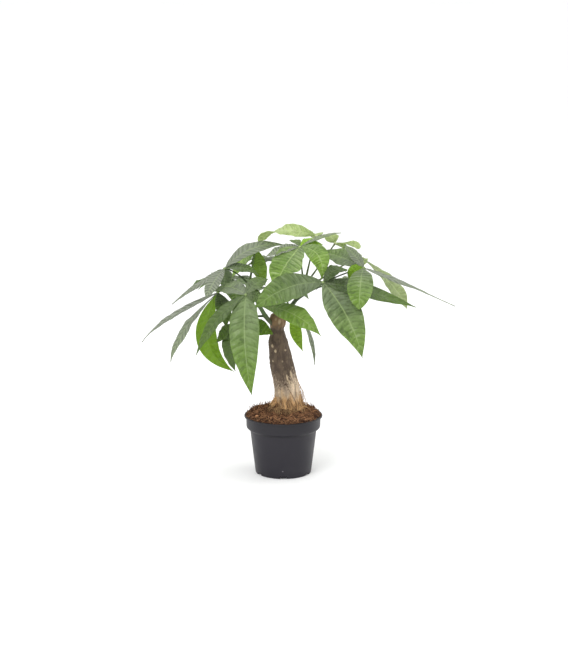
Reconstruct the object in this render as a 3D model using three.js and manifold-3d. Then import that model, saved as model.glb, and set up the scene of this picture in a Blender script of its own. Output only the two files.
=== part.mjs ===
// Potted money tree: a young tree with a cut, leaning trunk and two green shoots that carry
// hand-shaped leaves, standing in coarse soil in a black nursery pot.
// Millimetres, +Z up. The origin is the middle of the pot's underside, and the front is -Y.

import * as THREE from 'three';
import { mergeVertices } from 'three/addons/utils/BufferGeometryUtils.js';
import Module from 'manifold-3d';

const wasm = await Module();
wasm.setup();

// Gap left between pieces that touch, and the size below which a joined leaf's detail is merged
const SEAT = 0.3;
const MERGE = 0.06;

// Pot: a lip, a deep rim band, a tapered body and a notched foot ring
const POT_HEIGHT = 91;
const POT_SIDES = 36;
const LIP_RADIUS = 60.2;
const LIP_THICKNESS = 2.6;
const BAND_RADIUS = 57.4;
const BAND_BOTTOM = 72;
const BODY_TOP_RADIUS = 51.2;
const BODY_TOP = 67;
const FOOT_RADIUS = 43.2;
const WALL = 1.4;
const FLOOR_LIFT = 3.2;
const DISC_RADIUS = 18;
const NOTCH_COUNT = 6;
const NOTCH_WIDTH = 12;
const NOTCH_HEIGHT = 2.8;
const NOTCH_DEPTH = 12;
const DRAIN_COUNT = 6;
const DRAIN_RADIUS = 4;
const DRAIN_CIRCLE = 29;
const DRAIN_LENGTH = 12;
const DRAIN_SIDES = 12;

// Soil: heaped over the brim and lying a little over the lip's inner edge
const SOIL_SPILL_RADIUS = 58.4;
const SOIL_EDGE_HEIGHT = 93.4;
const SOIL_CROWN = 4.2;
const SOIL_LUMP = 1.3;

// Trunk stations: height, middle in x and y, and radius
const TRUNK_SIDES = 20;
const TRUNK = [
  { z: 46, x: 9, y: 6, radius: 13 },
  { z: 52, x: 9, y: 6, radius: 17 },
  { z: 80, x: 9, y: 6, radius: 19.6 },
  { z: 95, x: 8.9, y: 6, radius: 20.4 },
  { z: 112, x: 7.9, y: 6, radius: 20.2 },
  { z: 131, x: 5.9, y: 6, radius: 19.4 },
  { z: 149, x: 2.2, y: 6, radius: 18.8 },
  { z: 168, x: -1.6, y: 6, radius: 18.2 },
  { z: 187, x: -4.6, y: 5, radius: 16.8 },
  { z: 206, x: -7.6, y: 4, radius: 14.4 },
  { z: 218, x: -8.5, y: 3.5, radius: 11.4 },
  { z: 225, x: -9, y: 3, radius: 10.3 },
  { z: 230, x: -9, y: 3, radius: 11.4 },
  { z: 237, x: -9, y: 3, radius: 12.4 },
  { z: 243, x: -9, y: 3, radius: 12 },
  { z: 248, x: -9, y: 3, radius: 9.6 },
  { z: 250.5, x: -9, y: 3, radius: 5.5 },
];

// Green shoots from the cut top: the points that each one's middle line passes through
const SHOOT_SIDES = 8;
const SHOOT_STEPS = 14;
const SHOOT_BASE_RADIUS = 3.8;
const SHOOT_TOP_RADIUS = 2.4;
const SHOOTS = {
  left: [
    [-12, 0, 230],
    [-24, -5, 243],
    [-37, -11, 266],
    [-45, -14, 284],
    [-51, -14, 302],
  ],
  right: [
    [-6, 6, 236],
    [4, 10, 250],
    [18, 8, 268],
    [27, 7, 283],
    [33, 7, 296],
  ],
};

// Leaves: petioles and blades
const PETIOLE_SIDES = 6;
const PETIOLE_STEPS = 5;
const PETIOLE_BASE_RADIUS = 2;
const PETIOLE_TOP_RADIUS = 1.1;
const HUB_RADIUS = 2.4;
const BLADE_THICKNESS = 0.8;
const RIB_THICKNESS = 1.3;
const STALK_HALF_WIDTH = 1;
const TIP_HALF_WIDTH = 0.5;
const BLADE_FOLD = 14;
const BLADE_SHOULDER = 1.08;
const BLADE_POINT = 1.22;
const BLADE_STATIONS = [0, 0.08, 0.24, 0.42, 0.61, 0.81, 1];

// Leaves that show in front. Every leaf has its hub, the shoot that carries it, where on the
// shoot it starts (0 at the trunk, 1 at the top), and its leaflets. A leaflet has its tip's place
// and its width. arch is how far the rib rises above the straight line to the tip, and bow how
// far it bends to the right, both as a part of the leaflet's reach, and knee is how far along it
// bends most. roll lifts its right side, twist adds to the roll towards the tip, and face is the
// compass angle that its top looks to when it hangs. A low shoulder makes it broad near the hub,
// and a high point draws its tip out.
const LEAVES = {
  leaf_front_left: {
    shoot: 'left', start: 0.68, hub: [-56, -60, 292], lift: 6, tone: 'mature',
    leaflets: [
      {
        tip: [-47, -100, 148], width: 46, face: 262,
        arch: 0.12, bow: 0.02, shoulder: 0.6, point: 1.05,
      },
      { tip: [-130, -85, 206], width: 26, arch: 0.085, knee: 0.45, roll: 25 },
      { tip: [-102, -10, 291], width: 34, arch: 0.1, roll: 26 },
      { tip: [-23, -10, 306], width: 24, arch: 0.1, roll: -22 },
      { tip: [-30, -60, 282], width: 30, arch: 0.1, roll: -30 },
    ],
  },
  leaf_low_front: {
    shoot: 'left', start: 0.5, hub: [-40, -45, 272], lift: 2, tone: 'bright',
    leaflets: [
      { tip: [56, -95, 237], width: 37, arch: 0.11, roll: -26, twist: -14, shoulder: 1.7, point: 1.5 },
      { tip: [-52, -62, 190], width: 26, arch: 0.1 },
      { tip: [12, -22, 282], width: 28, arch: 0.06, roll: -20 },
    ],
  },
  leaf_front_right: {
    shoot: 'right', start: 0.45, hub: [59, -55, 310], lift: 4, tone: 'mature',
    leaflets: [
      { tip: [-41, -90, 279], width: 47, arch: 0.1, roll: 42, shoulder: 0.9, point: 0.95 },
      { tip: [117, -105, 206], width: 53, arch: 0.055, bow: -0.03, roll: -32, shoulder: 0.85, point: 1.2 },
      { tip: [199, -45, 270], width: 35, arch: 0.025, knee: 0.35, roll: -32, shoulder: 0.95 },
      { tip: [96, -26, 322], width: 30, arch: 0.25, bow: 0.13, roll: -8 },
    ],
  },
  leaf_high_left: {
    shoot: 'left', start: 0.88, hub: [-89, 0, 320], lift: 6, tone: 'mature',
    leaflets: [
      { tip: [2, 40, 349], width: 28, arch: 0.13, roll: -25 },
      { tip: [-169, -20, 269], width: 18, arch: 0.02, roll: 10, point: 1.4 },
      { tip: [-115, -65, 289], width: 22, arch: 0.06, roll: 12, shoulder: 1, point: 0.8 },
      { tip: [-110, 36, 297], width: 20, arch: 0.02 },
      { tip: [-37, -8, 311], width: 26, arch: 0.12, roll: -15 },
      { tip: [-90, 40, 276], width: 24, arch: 0.12 },
    ],
  },
  leaf_outer_left: {
    shoot: 'left', start: 0.78, hub: [-99, -12, 286], lift: 6, tone: 'mature',
    leaflets: [
      { tip: [-215, -20, 210], width: 22, arch: 0.055, knee: 0.78, roll: 12, shoulder: 1.3, point: 2.7 },
      { tip: [-170, -55, 188], width: 22, arch: 0.085, knee: 0.62, roll: 2, shoulder: 2, point: 1.4 },
      { tip: [-77, 40, 149], width: 34, face: 110, arch: 0.1, bow: -0.2, knee: 0.75 },
      { tip: [-86, -42, 238], width: 26, arch: 0.1 },
      { tip: [-118, 50, 286], width: 22, arch: 0.02 },
    ],
  },
  leaf_top_front: {
    shoot: 'right', start: 0.92, hub: [25, -15, 356], lift: 0, tone: 'bright',
    leaflets: [
      { tip: [57, -38, 311], width: 32, arch: 0.32, roll: -35 },
      { tip: [-13, -41, 300], width: 65, arch: 0.05, roll: 8, shoulder: 0.6, point: 0.9 },
      { tip: [-26, 12, 337], width: 26, arch: 0.05, roll: 30, point: 1 },
      { tip: [60, 15, 354], width: 26, arch: 0.06, roll: -36 },
      { tip: [88, 35, 369], width: 13, arch: 0.05, roll: -6 },
      { tip: [12, 26, 358], width: 16, arch: 0.1, point: 0.9 },
    ],
  },
  leaf_top_young: {
    shoot: 'right', start: 0.99, hub: [50, 35, 364], lift: 2, tone: 'young',
    leaflets: [
      { tip: [-39, 45, 354], width: 42, arch: 0.14, knee: 0.6, roll: 60, twist: -105, point: 0.8 },
      { tip: [48, 100, 347], width: 26, arch: 0.08 },
      { tip: [-2, 92, 358], width: 28, arch: 0.04 },
    ],
  },
  leaf_low_left: {
    shoot: 'left', start: 0.28, hub: [-78, 0, 234], lift: 4, tone: 'mature',
    leaflets: [
      { tip: [-102, 3, 204], width: 24, arch: 0.02, roll: 40 },
      { tip: [-74, 10, 157], width: 26, face: 240, arch: 0.1, bow: 0.04 },
      { tip: [-15, -25, 224], width: 40, arch: 0.04, roll: -35 },
      { tip: [-78, 72, 232], width: 28, arch: 0.1 },
    ],
  },
  leaf_low_right: {
    shoot: 'right', start: 0.2, hub: [16, 50, 243], lift: 2, tone: 'bright',
    leaflets: [
      { tip: [30, 50, 179], width: 20, face: 250, arch: 0.06, bow: 0.03 },
      { tip: [49, 72, 152], width: 22, arch: 0.1, roll: -10 },
      { tip: [42, 112, 206], width: 26, arch: 0.05 },
      { tip: [-12, 100, 230], width: 26, arch: 0.1 },
    ],
  },
  leaf_hanging_back: {
    shoot: 'left', start: 0.99, hub: [-42, 50, 342], lift: 4, tone: 'bright',
    leaflets: [
      { tip: [-28, 44, 284], width: 25, face: 250, arch: 0.08 },
      { tip: [-79, 60, 295], width: 42, arch: 0.08, roll: 42 },
      { tip: [-52, 128, 318], width: 30, arch: 0.1 },
      { tip: [2, 100, 338], width: 26, arch: 0.03, point: 0.7 },
      { tip: [-78, 102, 308], width: 26, arch: 0.06 },
    ],
  },
  leaf_far_right: {
    shoot: 'right', start: 0.6, hub: [121, -25, 326], lift: 6, tone: 'mature',
    leaflets: [
      { tip: [112, -90, 276], width: 40, arch: 0.2, shoulder: 1.2, point: 0.75 },
      { tip: [261, -10, 264], width: 21, arch: 0.008, roll: -12, point: 2.8 },
      { tip: [91, -8, 358], width: 18, arch: 0.05, roll: 30, shoulder: 0.9, point: 1.1 },
      { tip: [50, 22, 342], width: 34, arch: 0.05, roll: 24 },
      { tip: [98, -34, 312], width: 22, arch: 0.1, roll: 60, shoulder: 0.8, point: 0.8 },
    ],
  },
  leaf_pale_right: {
    shoot: 'right', start: 0.72, hub: [118, 32, 332], lift: 4, tone: 'young',
    leaflets: [
      { tip: [190, 30, 251], width: 33, arch: 0.065, knee: 0.7, roll: 5, twist: -70 },
      { tip: [120, 95, 300], width: 24, arch: 0.04 },
      { tip: [92, 115, 304], width: 28, arch: 0.06 },
    ],
  },
  leaf_pale_folded: {
    shoot: 'right', start: 0.84, hub: [80, 50, 350], lift: 0, tone: 'young',
    leaflets: [
      { tip: [72, 72, 360], width: 23, arch: 0.1, bow: -0.08, roll: 12 },
      { tip: [120, 72, 341], width: 15, arch: 0.04, roll: -45, shoulder: 3, point: 0.7 },
      { tip: [96, 96, 332], width: 20, arch: 0.04 },
    ],
  },
};

// Leaves of the far side, each a fan of leaflets round its heading (compass angle), and for one
// a leaflet that hangs towards the trunk
const FAR_LEAVES = {
  leaf_back_middle: {
    shoot: 'right', start: 0.78, hub: [-14, 88, 314], lift: 6, tone: 'mature',
    fan: { heading: 110, spread: 140, count: 5, reach: 88, width: 34, fall: 0.3 },
  },
  leaf_back_left: {
    shoot: 'left', start: 0.58, hub: [-80, 92, 284], lift: 6, tone: 'mature',
    leaflets: [{ tip: [-70, 22, 256], width: 34, arch: 0.08 }],
    fan: { heading: 110, spread: 150, count: 5, reach: 92, width: 34, fall: 0.3 },
  },
  leaf_back_right: {
    shoot: 'right', start: 0.52, hub: [84, 98, 276], lift: 7, tone: 'mature',
    fan: { heading: 52, spread: 150, count: 5, reach: 92, width: 34, fall: 0.3 },
  },
  leaf_back_low: {
    shoot: 'right', start: 0.34, hub: [2, 100, 262], lift: 4, tone: 'mature',
    fan: { heading: 108, spread: 130, count: 4, reach: 92, width: 34, fall: 0.28 },
  },
};

// Finishes: colour, roughness
const COLOURS = {
  pot: [0x3b3b40, 0.5],
  soil: [0x5e3d28, 0.95],
  trunk: [0x6b5848, 0.85],
  shoot: [0x5c7a3a, 0.55],
  mature: [0x55804b, 0.45],
  bright: [0x6aa33a, 0.45],
  young: [0xb4d070, 0.5],
};

const UP = new THREE.Vector3(0, 0, 1);
const part = new THREE.Group();

function finish(tone) {
  const [color, roughness] = COLOURS[tone];
  return new THREE.MeshStandardMaterial({ color, roughness, metalness: 0 });
}

function addNode(name, geometry, tone) {
  const mesh = new THREE.Mesh(geometry, finish(tone));
  mesh.name = name;
  part.add(mesh);
}

// Solids and geometry

// Position-only copy with shared vertices, without triangles that have shrunk to a line
function weld(geometry) {
  const bare = new THREE.BufferGeometry();
  bare.setAttribute('position', geometry.getAttribute('position').clone());
  bare.setIndex(geometry.getIndex());
  const merged = mergeVertices(bare, 1e-4);
  const index = merged.getIndex().array;
  const kept = [];
  for (let i = 0; i < index.length; i += 3) {
    const [a, b, c] = [index[i], index[i + 1], index[i + 2]];
    if (a !== b && b !== c && c !== a) {
      kept.push(a, b, c);
    }
  }
  merged.setIndex(kept);
  return merged;
}

function toSolid(geometry) {
  const welded = weld(geometry);
  const mesh = new wasm.Mesh({
    numProp: 3,
    vertProperties: new Float32Array(welded.getAttribute('position').array),
    triVerts: new Uint32Array(welded.getIndex().array),
  });
  return new wasm.Manifold(mesh);
}

function toGeometry(solid) {
  const mesh = solid.getMesh();
  const geometry = new THREE.BufferGeometry();
  geometry.setAttribute('position', new THREE.BufferAttribute(mesh.vertProperties, 3));
  geometry.setIndex(new THREE.BufferAttribute(mesh.triVerts, 1));
  return geometry;
}

function signedVolume(points, index) {
  let total = 0;
  const cross = new THREE.Vector3();
  for (let i = 0; i < index.length; i += 3) {
    cross.crossVectors(points[index[i + 1]], points[index[i + 2]]);
    total += points[index[i]].dot(cross);
  }
  return total;
}

// Closed skin through rings of equal point counts. The two halves of a ring are split along
// opposite diagonals, so that the top and the underside of a twisted blade stay parallel. Each
// end is closed by strips across the ring, so that a bent section stays clean.
function loft(rings) {
  const sides = rings[0].length;
  const points = rings.flat();
  const index = [];
  for (let row = 0; row + 1 < rings.length; row += 1) {
    for (let i = 0; i < sides; i += 1) {
      const a = row * sides + i;
      const b = row * sides + (i + 1) % sides;
      const [c, d] = [b + sides, a + sides];
      index.push(...(2 * i < sides ? [a, b, c, a, c, d] : [a, b, d, b, c, d]));
    }
  }
  const closeEnd = (first, flip) => {
    for (let i = 0; 2 * i + 2 < sides; i += 1) {
      const quad = [i, i + 1, sides - 2 - i, sides - 1 - i].map((k) => first + k);
      const triangles = [[quad[0], quad[1], quad[3]], [quad[1], quad[2], quad[3]]];
      triangles
        .filter((corners) => new Set(corners).size === 3)
        .forEach(([a, b, c]) => index.push(...(flip ? [a, b, c] : [a, c, b])));
    }
  };
  closeEnd(0, false);
  closeEnd((rings.length - 1) * sides, true);
  if (signedVolume(points, index) < 0) {
    index.reverse();
  }
  const geometry = new THREE.BufferGeometry();
  geometry.setFromPoints(points);
  geometry.setIndex(index);
  return geometry;
}

// Round bar along a curve, with a radius that changes from end to end
function barAlong(curve, steps, sides, radiusAt) {
  const frames = curve.computeFrenetFrames(steps, false);
  const rings = [];
  for (let row = 0; row <= steps; row += 1) {
    const middle = curve.getPointAt(row / steps);
    const radius = radiusAt(row / steps);
    const ring = [];
    for (let i = 0; i < sides; i += 1) {
      const angle = 2 * Math.PI * i / sides;
      ring.push(middle.clone()
        .addScaledVector(frames.normals[row], radius * Math.cos(angle))
        .addScaledVector(frames.binormals[row], radius * Math.sin(angle)));
    }
    rings.push(ring);
  }
  return loft(rings);
}

// Pot

// The moulded section, outside from the middle of the base to the lip, then back inside
function potProfile() {
  const lipBottom = POT_HEIGHT - LIP_THICKNESS;
  return [
    [0, 0],
    [DISC_RADIUS, 0],
    [DISC_RADIUS + 2.4, FLOOR_LIFT],
    [FOOT_RADIUS - 4.6, FLOOR_LIFT],
    [FOOT_RADIUS - 3.8, 0],
    [FOOT_RADIUS - 1.4, 0],
    [FOOT_RADIUS - 0.4, 0.8],
    [FOOT_RADIUS, 2.6],
    [BODY_TOP_RADIUS, BODY_TOP],
    [BODY_TOP_RADIUS + 1.2, BODY_TOP + 2.2],
    [BAND_RADIUS - 1.8, BAND_BOTTOM - 0.8],
    [BAND_RADIUS - 0.4, BAND_BOTTOM + 1.6],
    [BAND_RADIUS, lipBottom],
    [LIP_RADIUS - 0.4, lipBottom + 0.2],
    [LIP_RADIUS, lipBottom + 0.8],
    [LIP_RADIUS, POT_HEIGHT - 0.6],
    [LIP_RADIUS - 0.6, POT_HEIGHT],
    [BAND_RADIUS - WALL + 0.5, POT_HEIGHT],
    [BAND_RADIUS - WALL, POT_HEIGHT - 0.6],
    [BAND_RADIUS - WALL - 0.3, BAND_BOTTOM + 0.8],
    [BODY_TOP_RADIUS - WALL + 0.8, BODY_TOP + 2.4],
    [BODY_TOP_RADIUS - WALL, BODY_TOP],
    [FOOT_RADIUS - WALL, FLOOR_LIFT + WALL + 0.6],
    [FOOT_RADIUS - WALL - 0.8, FLOOR_LIFT + WALL],
    [DISC_RADIUS + 1.8, FLOOR_LIFT + WALL],
    [DISC_RADIUS - 0.6, WALL],
    [0, WALL],
  ];
}

function buildPot() {
  const profile = potProfile().map(([r, z]) => new THREE.Vector2(r, z));
  const shell = new THREE.LatheGeometry(profile, POT_SIDES);
  shell.rotateX(Math.PI / 2);
  const cutters = [];
  for (let i = 0; i < NOTCH_COUNT; i += 1) {
    const notch = new THREE.BoxGeometry(NOTCH_DEPTH, NOTCH_WIDTH, 2 * NOTCH_HEIGHT);
    notch.translate(FOOT_RADIUS, 0, 0);
    notch.rotateZ(-Math.PI / 2 + 2 * Math.PI * i / NOTCH_COUNT);
    cutters.push(toSolid(notch));
  }
  for (let i = 0; i < DRAIN_COUNT; i += 1) {
    const drain = new THREE.CylinderGeometry(DRAIN_RADIUS, DRAIN_RADIUS, DRAIN_LENGTH, DRAIN_SIDES);
    drain.rotateX(Math.PI / 2);
    drain.translate(DRAIN_CIRCLE, 0, FLOOR_LIFT);
    drain.rotateZ(2 * Math.PI * (i + 0.5) / DRAIN_COUNT);
    cutters.push(toSolid(drain));
  }
  const pot = cutters.reduce((body, cutter) => body.subtract(cutter), outward(shell));
  addNode('pot', toGeometry(pot), 'pot');
}

// A turned shape as a solid, whichever way its profile was drawn
function outward(geometry) {
  const solid = toSolid(geometry);
  if (solid.volume() > 0) {
    return solid;
  }
  const welded = weld(geometry);
  welded.setIndex(Array.from(welded.getIndex().array).reverse());
  return toSolid(welded);
}

// Trunk

// Rings of the trunk. The bark is a little out of round, more so at the swollen foot.
function trunkRings(extra) {
  return TRUNK.map(({ z, x, y, radius }, row) => {
    const ring = [];
    const lobes = z < 120 ? 0.035 : 0.018;
    for (let i = 0; i < TRUNK_SIDES; i += 1) {
      const angle = 2 * Math.PI * i / TRUNK_SIDES;
      const wave = Math.sin(3 * angle + 0.5 * row) + 0.6 * Math.sin(5 * angle - 0.35 * row);
      const r = radius * (1 + lobes * wave) + extra;
      ring.push(new THREE.Vector3(x + r * Math.cos(angle), y + r * Math.sin(angle), z));
    }
    return ring;
  });
}

function trunkSolid(extra) {
  const rings = trunkRings(extra);
  rings[0].forEach((point) => point.setZ(point.z - extra));
  rings[rings.length - 1].forEach((point) => point.setZ(point.z + extra));
  return toSolid(loft(rings));
}

// Soil

// Lumps on the soil's top, from a few crossed waves
function soilLump(x, y) {
  return SOIL_LUMP * (Math.sin(x / 5.1 + y / 9.3) * Math.cos(y / 4.7 - x / 13)
    + 0.6 * Math.sin(x / 3.3 - y / 3.9));
}

function soilRing(radius, height, relief) {
  const ring = [];
  for (let i = 0; i < POT_SIDES; i += 1) {
    const angle = 2 * Math.PI * i / POT_SIDES;
    const x = radius * Math.cos(angle);
    const y = radius * Math.sin(angle);
    ring.push(new THREE.Vector3(x, y, height + relief * soilLump(x, y)));
  }
  return ring;
}

function buildSoil(trunkRoom) {
  const inner = BAND_RADIUS - WALL - SEAT;
  const above = POT_HEIGHT + SEAT;
  const rings = [
    soilRing(DISC_RADIUS - 1, WALL + SEAT, 0),
    soilRing(DISC_RADIUS + 1.8, FLOOR_LIFT + WALL + SEAT, 0),
    soilRing(FOOT_RADIUS - WALL - 1.2, FLOOR_LIFT + WALL + SEAT, 0),
    soilRing(FOOT_RADIUS - WALL - SEAT, FLOOR_LIFT + WALL + 1, 0),
    soilRing(BODY_TOP_RADIUS - WALL - SEAT - 0.1, BODY_TOP, 0),
    soilRing(BODY_TOP_RADIUS - WALL + 0.4, BODY_TOP + 2.9, 0),
    soilRing(inner - 0.4, BAND_BOTTOM + 1.4, 0),
    soilRing(inner - 0.1, above, 0),
    soilRing(SOIL_SPILL_RADIUS, above, 0),
  ];
  for (const share of [0.985, 0.91, 0.78, 0.62, 0.45, 0.25]) {
    const height = SOIL_EDGE_HEIGHT + SOIL_CROWN * (1 - share * share);
    rings.push(soilRing(SOIL_SPILL_RADIUS * share, height, Math.min(1, 6 * (1 - share))));
  }
  const soil = toSolid(loft(rings)).subtract(trunkRoom);
  addNode('soil', toGeometry(soil), 'soil');
}

// Shoots

function shootCurve(side) {
  return new THREE.CatmullRomCurve3(SHOOTS[side].map((point) => new THREE.Vector3(...point)));
}

// A shoot thins towards its top and swells a little at each leaf joint
function shootRadius(share) {
  const thin = SHOOT_BASE_RADIUS + (SHOOT_TOP_RADIUS - SHOOT_BASE_RADIUS) * share;
  return thin * (1 + 0.06 * Math.cos(share * 12 * Math.PI));
}

function shootSolid(side, extra) {
  const bar = barAlong(shootCurve(side), SHOOT_STEPS, SHOOT_SIDES, (share) => shootRadius(share) + extra);
  return toSolid(bar);
}

// Leaves

// Half width along a leaflet, from 0 at its base to 1 at its widest and 0 at its tip: a power of
// the way along times a power of the way left, scaled so that the peak is 1
function bladeShape(t, shoulder, point) {
  const peak = shoulder / (shoulder + point);
  const at = (s) => s ** shoulder * (1 - s) ** point;
  return at(t) / at(peak);
}

// The leaflet's rib: a parabola from the hub to the tip, raised by arch and bent by bow
function ribOf(hub, leaflet) {
  const { arch = 0, bow = 0, knee = 0.5, face } = leaflet;
  const tip = new THREE.Vector3(...leaflet.tip);
  const chord = tip.clone().sub(hub);
  const reach = chord.length();
  const heading = chord.clone().setZ(0).normalize();
  if (face !== undefined) {
    const turn = THREE.MathUtils.degToRad(face);
    heading.set(Math.cos(turn), Math.sin(turn), 0);
  }
  const side = new THREE.Vector3().crossVectors(heading, UP);
  const rise = new THREE.Vector3().crossVectors(side, chord).normalize();
  const control = hub.clone().lerp(tip, knee)
    .addScaledVector(rise, 2 * reach * arch)
    .addScaledVector(side, 2 * reach * bow);
  return { curve: new THREE.QuadraticBezierCurve3(hub, control, tip), side };
}

// Blade of even thickness, folded up a little along its rib. Each ring has three points on top
// (left edge, rib, right edge) and three below.
function bladeGeometry(hub, leaflet) {
  const { width, roll = 0, twist = 0, shoulder = BLADE_SHOULDER, point = BLADE_POINT } = leaflet;
  const { curve, side } = ribOf(hub, leaflet);
  const fold = THREE.MathUtils.degToRad(BLADE_FOLD);
  const rings = BLADE_STATIONS.map((t) => {
    const rib = curve.getPoint(t);
    const along = curve.getTangent(t);
    const across = side.clone().addScaledVector(along, -side.dot(along)).normalize();
    const normal = new THREE.Vector3().crossVectors(across, along);
    const turn = THREE.MathUtils.degToRad(roll + twist * t);
    const right = across.clone().multiplyScalar(Math.cos(turn))
      .addScaledVector(normal, Math.sin(turn));
    const up = normal.multiplyScalar(Math.cos(turn)).addScaledVector(across, -Math.sin(turn));
    const least = THREE.MathUtils.lerp(STALK_HALF_WIDTH, TIP_HALF_WIDTH, t);
    const half = Math.max(0.5 * width * bladeShape(t, shoulder, point), least);
    const edge = (sign) => rib.clone()
      .addScaledVector(right, sign * half * Math.cos(fold))
      .addScaledVector(up, half * Math.sin(fold));
    const left = edge(-1);
    const far = edge(1);
    const below = (point, depth) => point.clone().addScaledVector(up, -depth);
    return [
      left, rib, far,
      below(far, BLADE_THICKNESS), below(rib, RIB_THICKNESS), below(left, BLADE_THICKNESS),
    ];
  });
  return loft(rings);
}

function petioleGeometry(start, hub, lift) {
  const middle = start.clone().add(hub).multiplyScalar(0.5).addScaledVector(UP, 2 * lift);
  const curve = new THREE.QuadraticBezierCurve3(start, middle, hub);
  return barAlong(curve, PETIOLE_STEPS, PETIOLE_SIDES, (share) => THREE.MathUtils.lerp(
    PETIOLE_BASE_RADIUS, PETIOLE_TOP_RADIUS, Math.min(1, 2 * share)));
}

// Leaflets of a far-side leaf: the middle one is the longest, and the outer ones are shorter
function fanLeaflets(hub, { heading, spread, count, reach, width, fall }) {
  return Array.from({ length: count }, (_, i) => {
    const across = 2 * i / (count - 1) - 1;
    const turn = THREE.MathUtils.degToRad(heading + 0.5 * spread * across);
    const length = reach * (1 - 0.4 * across * across);
    const drop = fall * length * (1 + 0.15 * Math.sin(5 * i + heading));
    const level = Math.sqrt(length * length - drop * drop);
    const tip = [
      hub[0] + level * Math.cos(turn),
      hub[1] + level * Math.sin(turn),
      hub[2] - drop,
    ];
    return { tip, width: width * (1 - 0.25 * across * across), arch: 0.13 };
  });
}

function buildLeaf(name, leaf, shootRoom) {
  const { shoot, start, lift, tone } = leaf;
  const hub = new THREE.Vector3(...leaf.hub);
  const leaflets = [...(leaf.leaflets ?? []), ...(leaf.fan ? fanLeaflets(leaf.hub, leaf.fan) : [])];
  const bead = new THREE.IcosahedronGeometry(HUB_RADIUS, 0);
  bead.translate(hub.x, hub.y, hub.z);
  const origin = shootCurve(shoot).getPointAt(start);
  const pieces = [
    toSolid(bead),
    toSolid(petioleGeometry(origin, hub, lift)),
    ...leaflets.map((leaflet) => toSolid(bladeGeometry(hub, leaflet))),
  ];
  const whole = wasm.Manifold.union(pieces).subtract(shootRoom[shoot]).simplify(MERGE);
  addNode(name, toGeometry(whole), tone);
}

// Assembly

const trunk = trunkSolid(0);
const trunkRoom = trunkSolid(SEAT);
const shootRoom = { left: shootSolid('left', SEAT), right: shootSolid('right', SEAT) };

buildPot();
buildSoil(trunkRoom);
addNode('trunk', toGeometry(trunk), 'trunk');
for (const side of Object.keys(SHOOTS)) {
  addNode(`shoot_${side}`, toGeometry(shootSolid(side, 0).subtract(trunkRoom)), 'shoot');
}
for (const [name, leaf] of Object.entries({ ...LEAVES, ...FAR_LEAVES })) {
  buildLeaf(name, leaf, shootRoom);
}

export default part;
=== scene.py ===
"""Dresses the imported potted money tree: pot, soil, trunk, shoots, leaves, studio and camera.

Metres, +Z up, front at -Y. Lengths in the tables are millimetres, as in the part's own source.
"""

import logging
import math
from dataclasses import dataclass
from enum import Enum
from typing import Iterable, Sequence

import bpy
import numpy as np
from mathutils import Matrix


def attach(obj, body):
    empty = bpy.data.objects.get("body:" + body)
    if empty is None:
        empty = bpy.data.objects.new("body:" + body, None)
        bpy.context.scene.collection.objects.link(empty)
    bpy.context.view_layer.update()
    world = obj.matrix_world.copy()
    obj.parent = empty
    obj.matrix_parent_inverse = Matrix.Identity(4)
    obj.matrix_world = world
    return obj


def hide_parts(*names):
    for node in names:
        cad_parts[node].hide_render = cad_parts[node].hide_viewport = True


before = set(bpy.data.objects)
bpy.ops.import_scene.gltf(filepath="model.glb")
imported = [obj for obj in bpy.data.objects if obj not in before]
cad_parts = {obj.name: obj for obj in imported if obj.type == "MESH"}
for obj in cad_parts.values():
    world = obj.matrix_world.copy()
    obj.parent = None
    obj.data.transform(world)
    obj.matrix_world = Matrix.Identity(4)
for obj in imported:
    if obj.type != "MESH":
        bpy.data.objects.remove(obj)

MM = 0.001
BODY = "root"
UP = np.array([0.0, 0.0, 1.0])
LEVEL = np.array([1.0, 1.0, 0.0])
LOG = logging.getLogger("money_tree")
Vector3 = tuple[float, float, float]
Colour = tuple[float, float, float, float]
Socket = bpy.types.NodeSocket

# Side veins of a leaflet, the same in its blade and in its finish: how many there are, how far they
# slant towards the tip as a share of the length, and the power by which they bend.
VEINS = 14
SLANT = 0.055
BEND = 1.4


# Numbers and curves

def srgb(red: float, green: float, blue: float) -> Colour:
    """Linear colour of a screen colour.

    Args:
        red: Red, 0 to 255.
        green: Green, 0 to 255.
        blue: Blue, 0 to 255.

    Returns:
        Linear red, green, blue and an alpha of 1.
    """
    share = np.array([red, green, blue]) / 255
    linear = np.where(share <= 0.04045, share / 12.92, ((share + 0.055) / 1.055) ** 2.4)
    return (*linear.tolist(), 1.0)


def unit(vectors: np.ndarray) -> np.ndarray:
    """Vectors scaled to length 1."""
    return vectors / np.maximum(np.linalg.norm(vectors, axis=-1, keepdims=True), 1e-12)


def ease(low: float, high: float, value: np.ndarray) -> np.ndarray:
    """Smooth step from 0 at low to 1 at high."""
    share = np.clip((np.asarray(value) - low) / (high - low), 0, 1)
    return share * share * (3 - 2 * share)


def circle(count: int) -> np.ndarray:
    """Evenly spaced angles once round, in radians."""
    return 2 * math.pi * np.arange(count) / count


def around(radius: np.ndarray | float, angle: np.ndarray, height: np.ndarray | float) -> np.ndarray:
    """Points at a radius and angle about the upright axis, and at a height."""
    across, deep = radius * np.cos(angle), radius * np.sin(angle)
    return np.stack(np.broadcast_arrays(across, deep, height), axis=-1)


def spin(turn: float) -> np.ndarray:
    """Matrix that turns rows of points about the upright axis by an angle in radians."""
    c, s = math.cos(turn), math.sin(turn)
    return np.array([[c, s, 0], [-s, c, 0], [0, 0, 1]])


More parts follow.
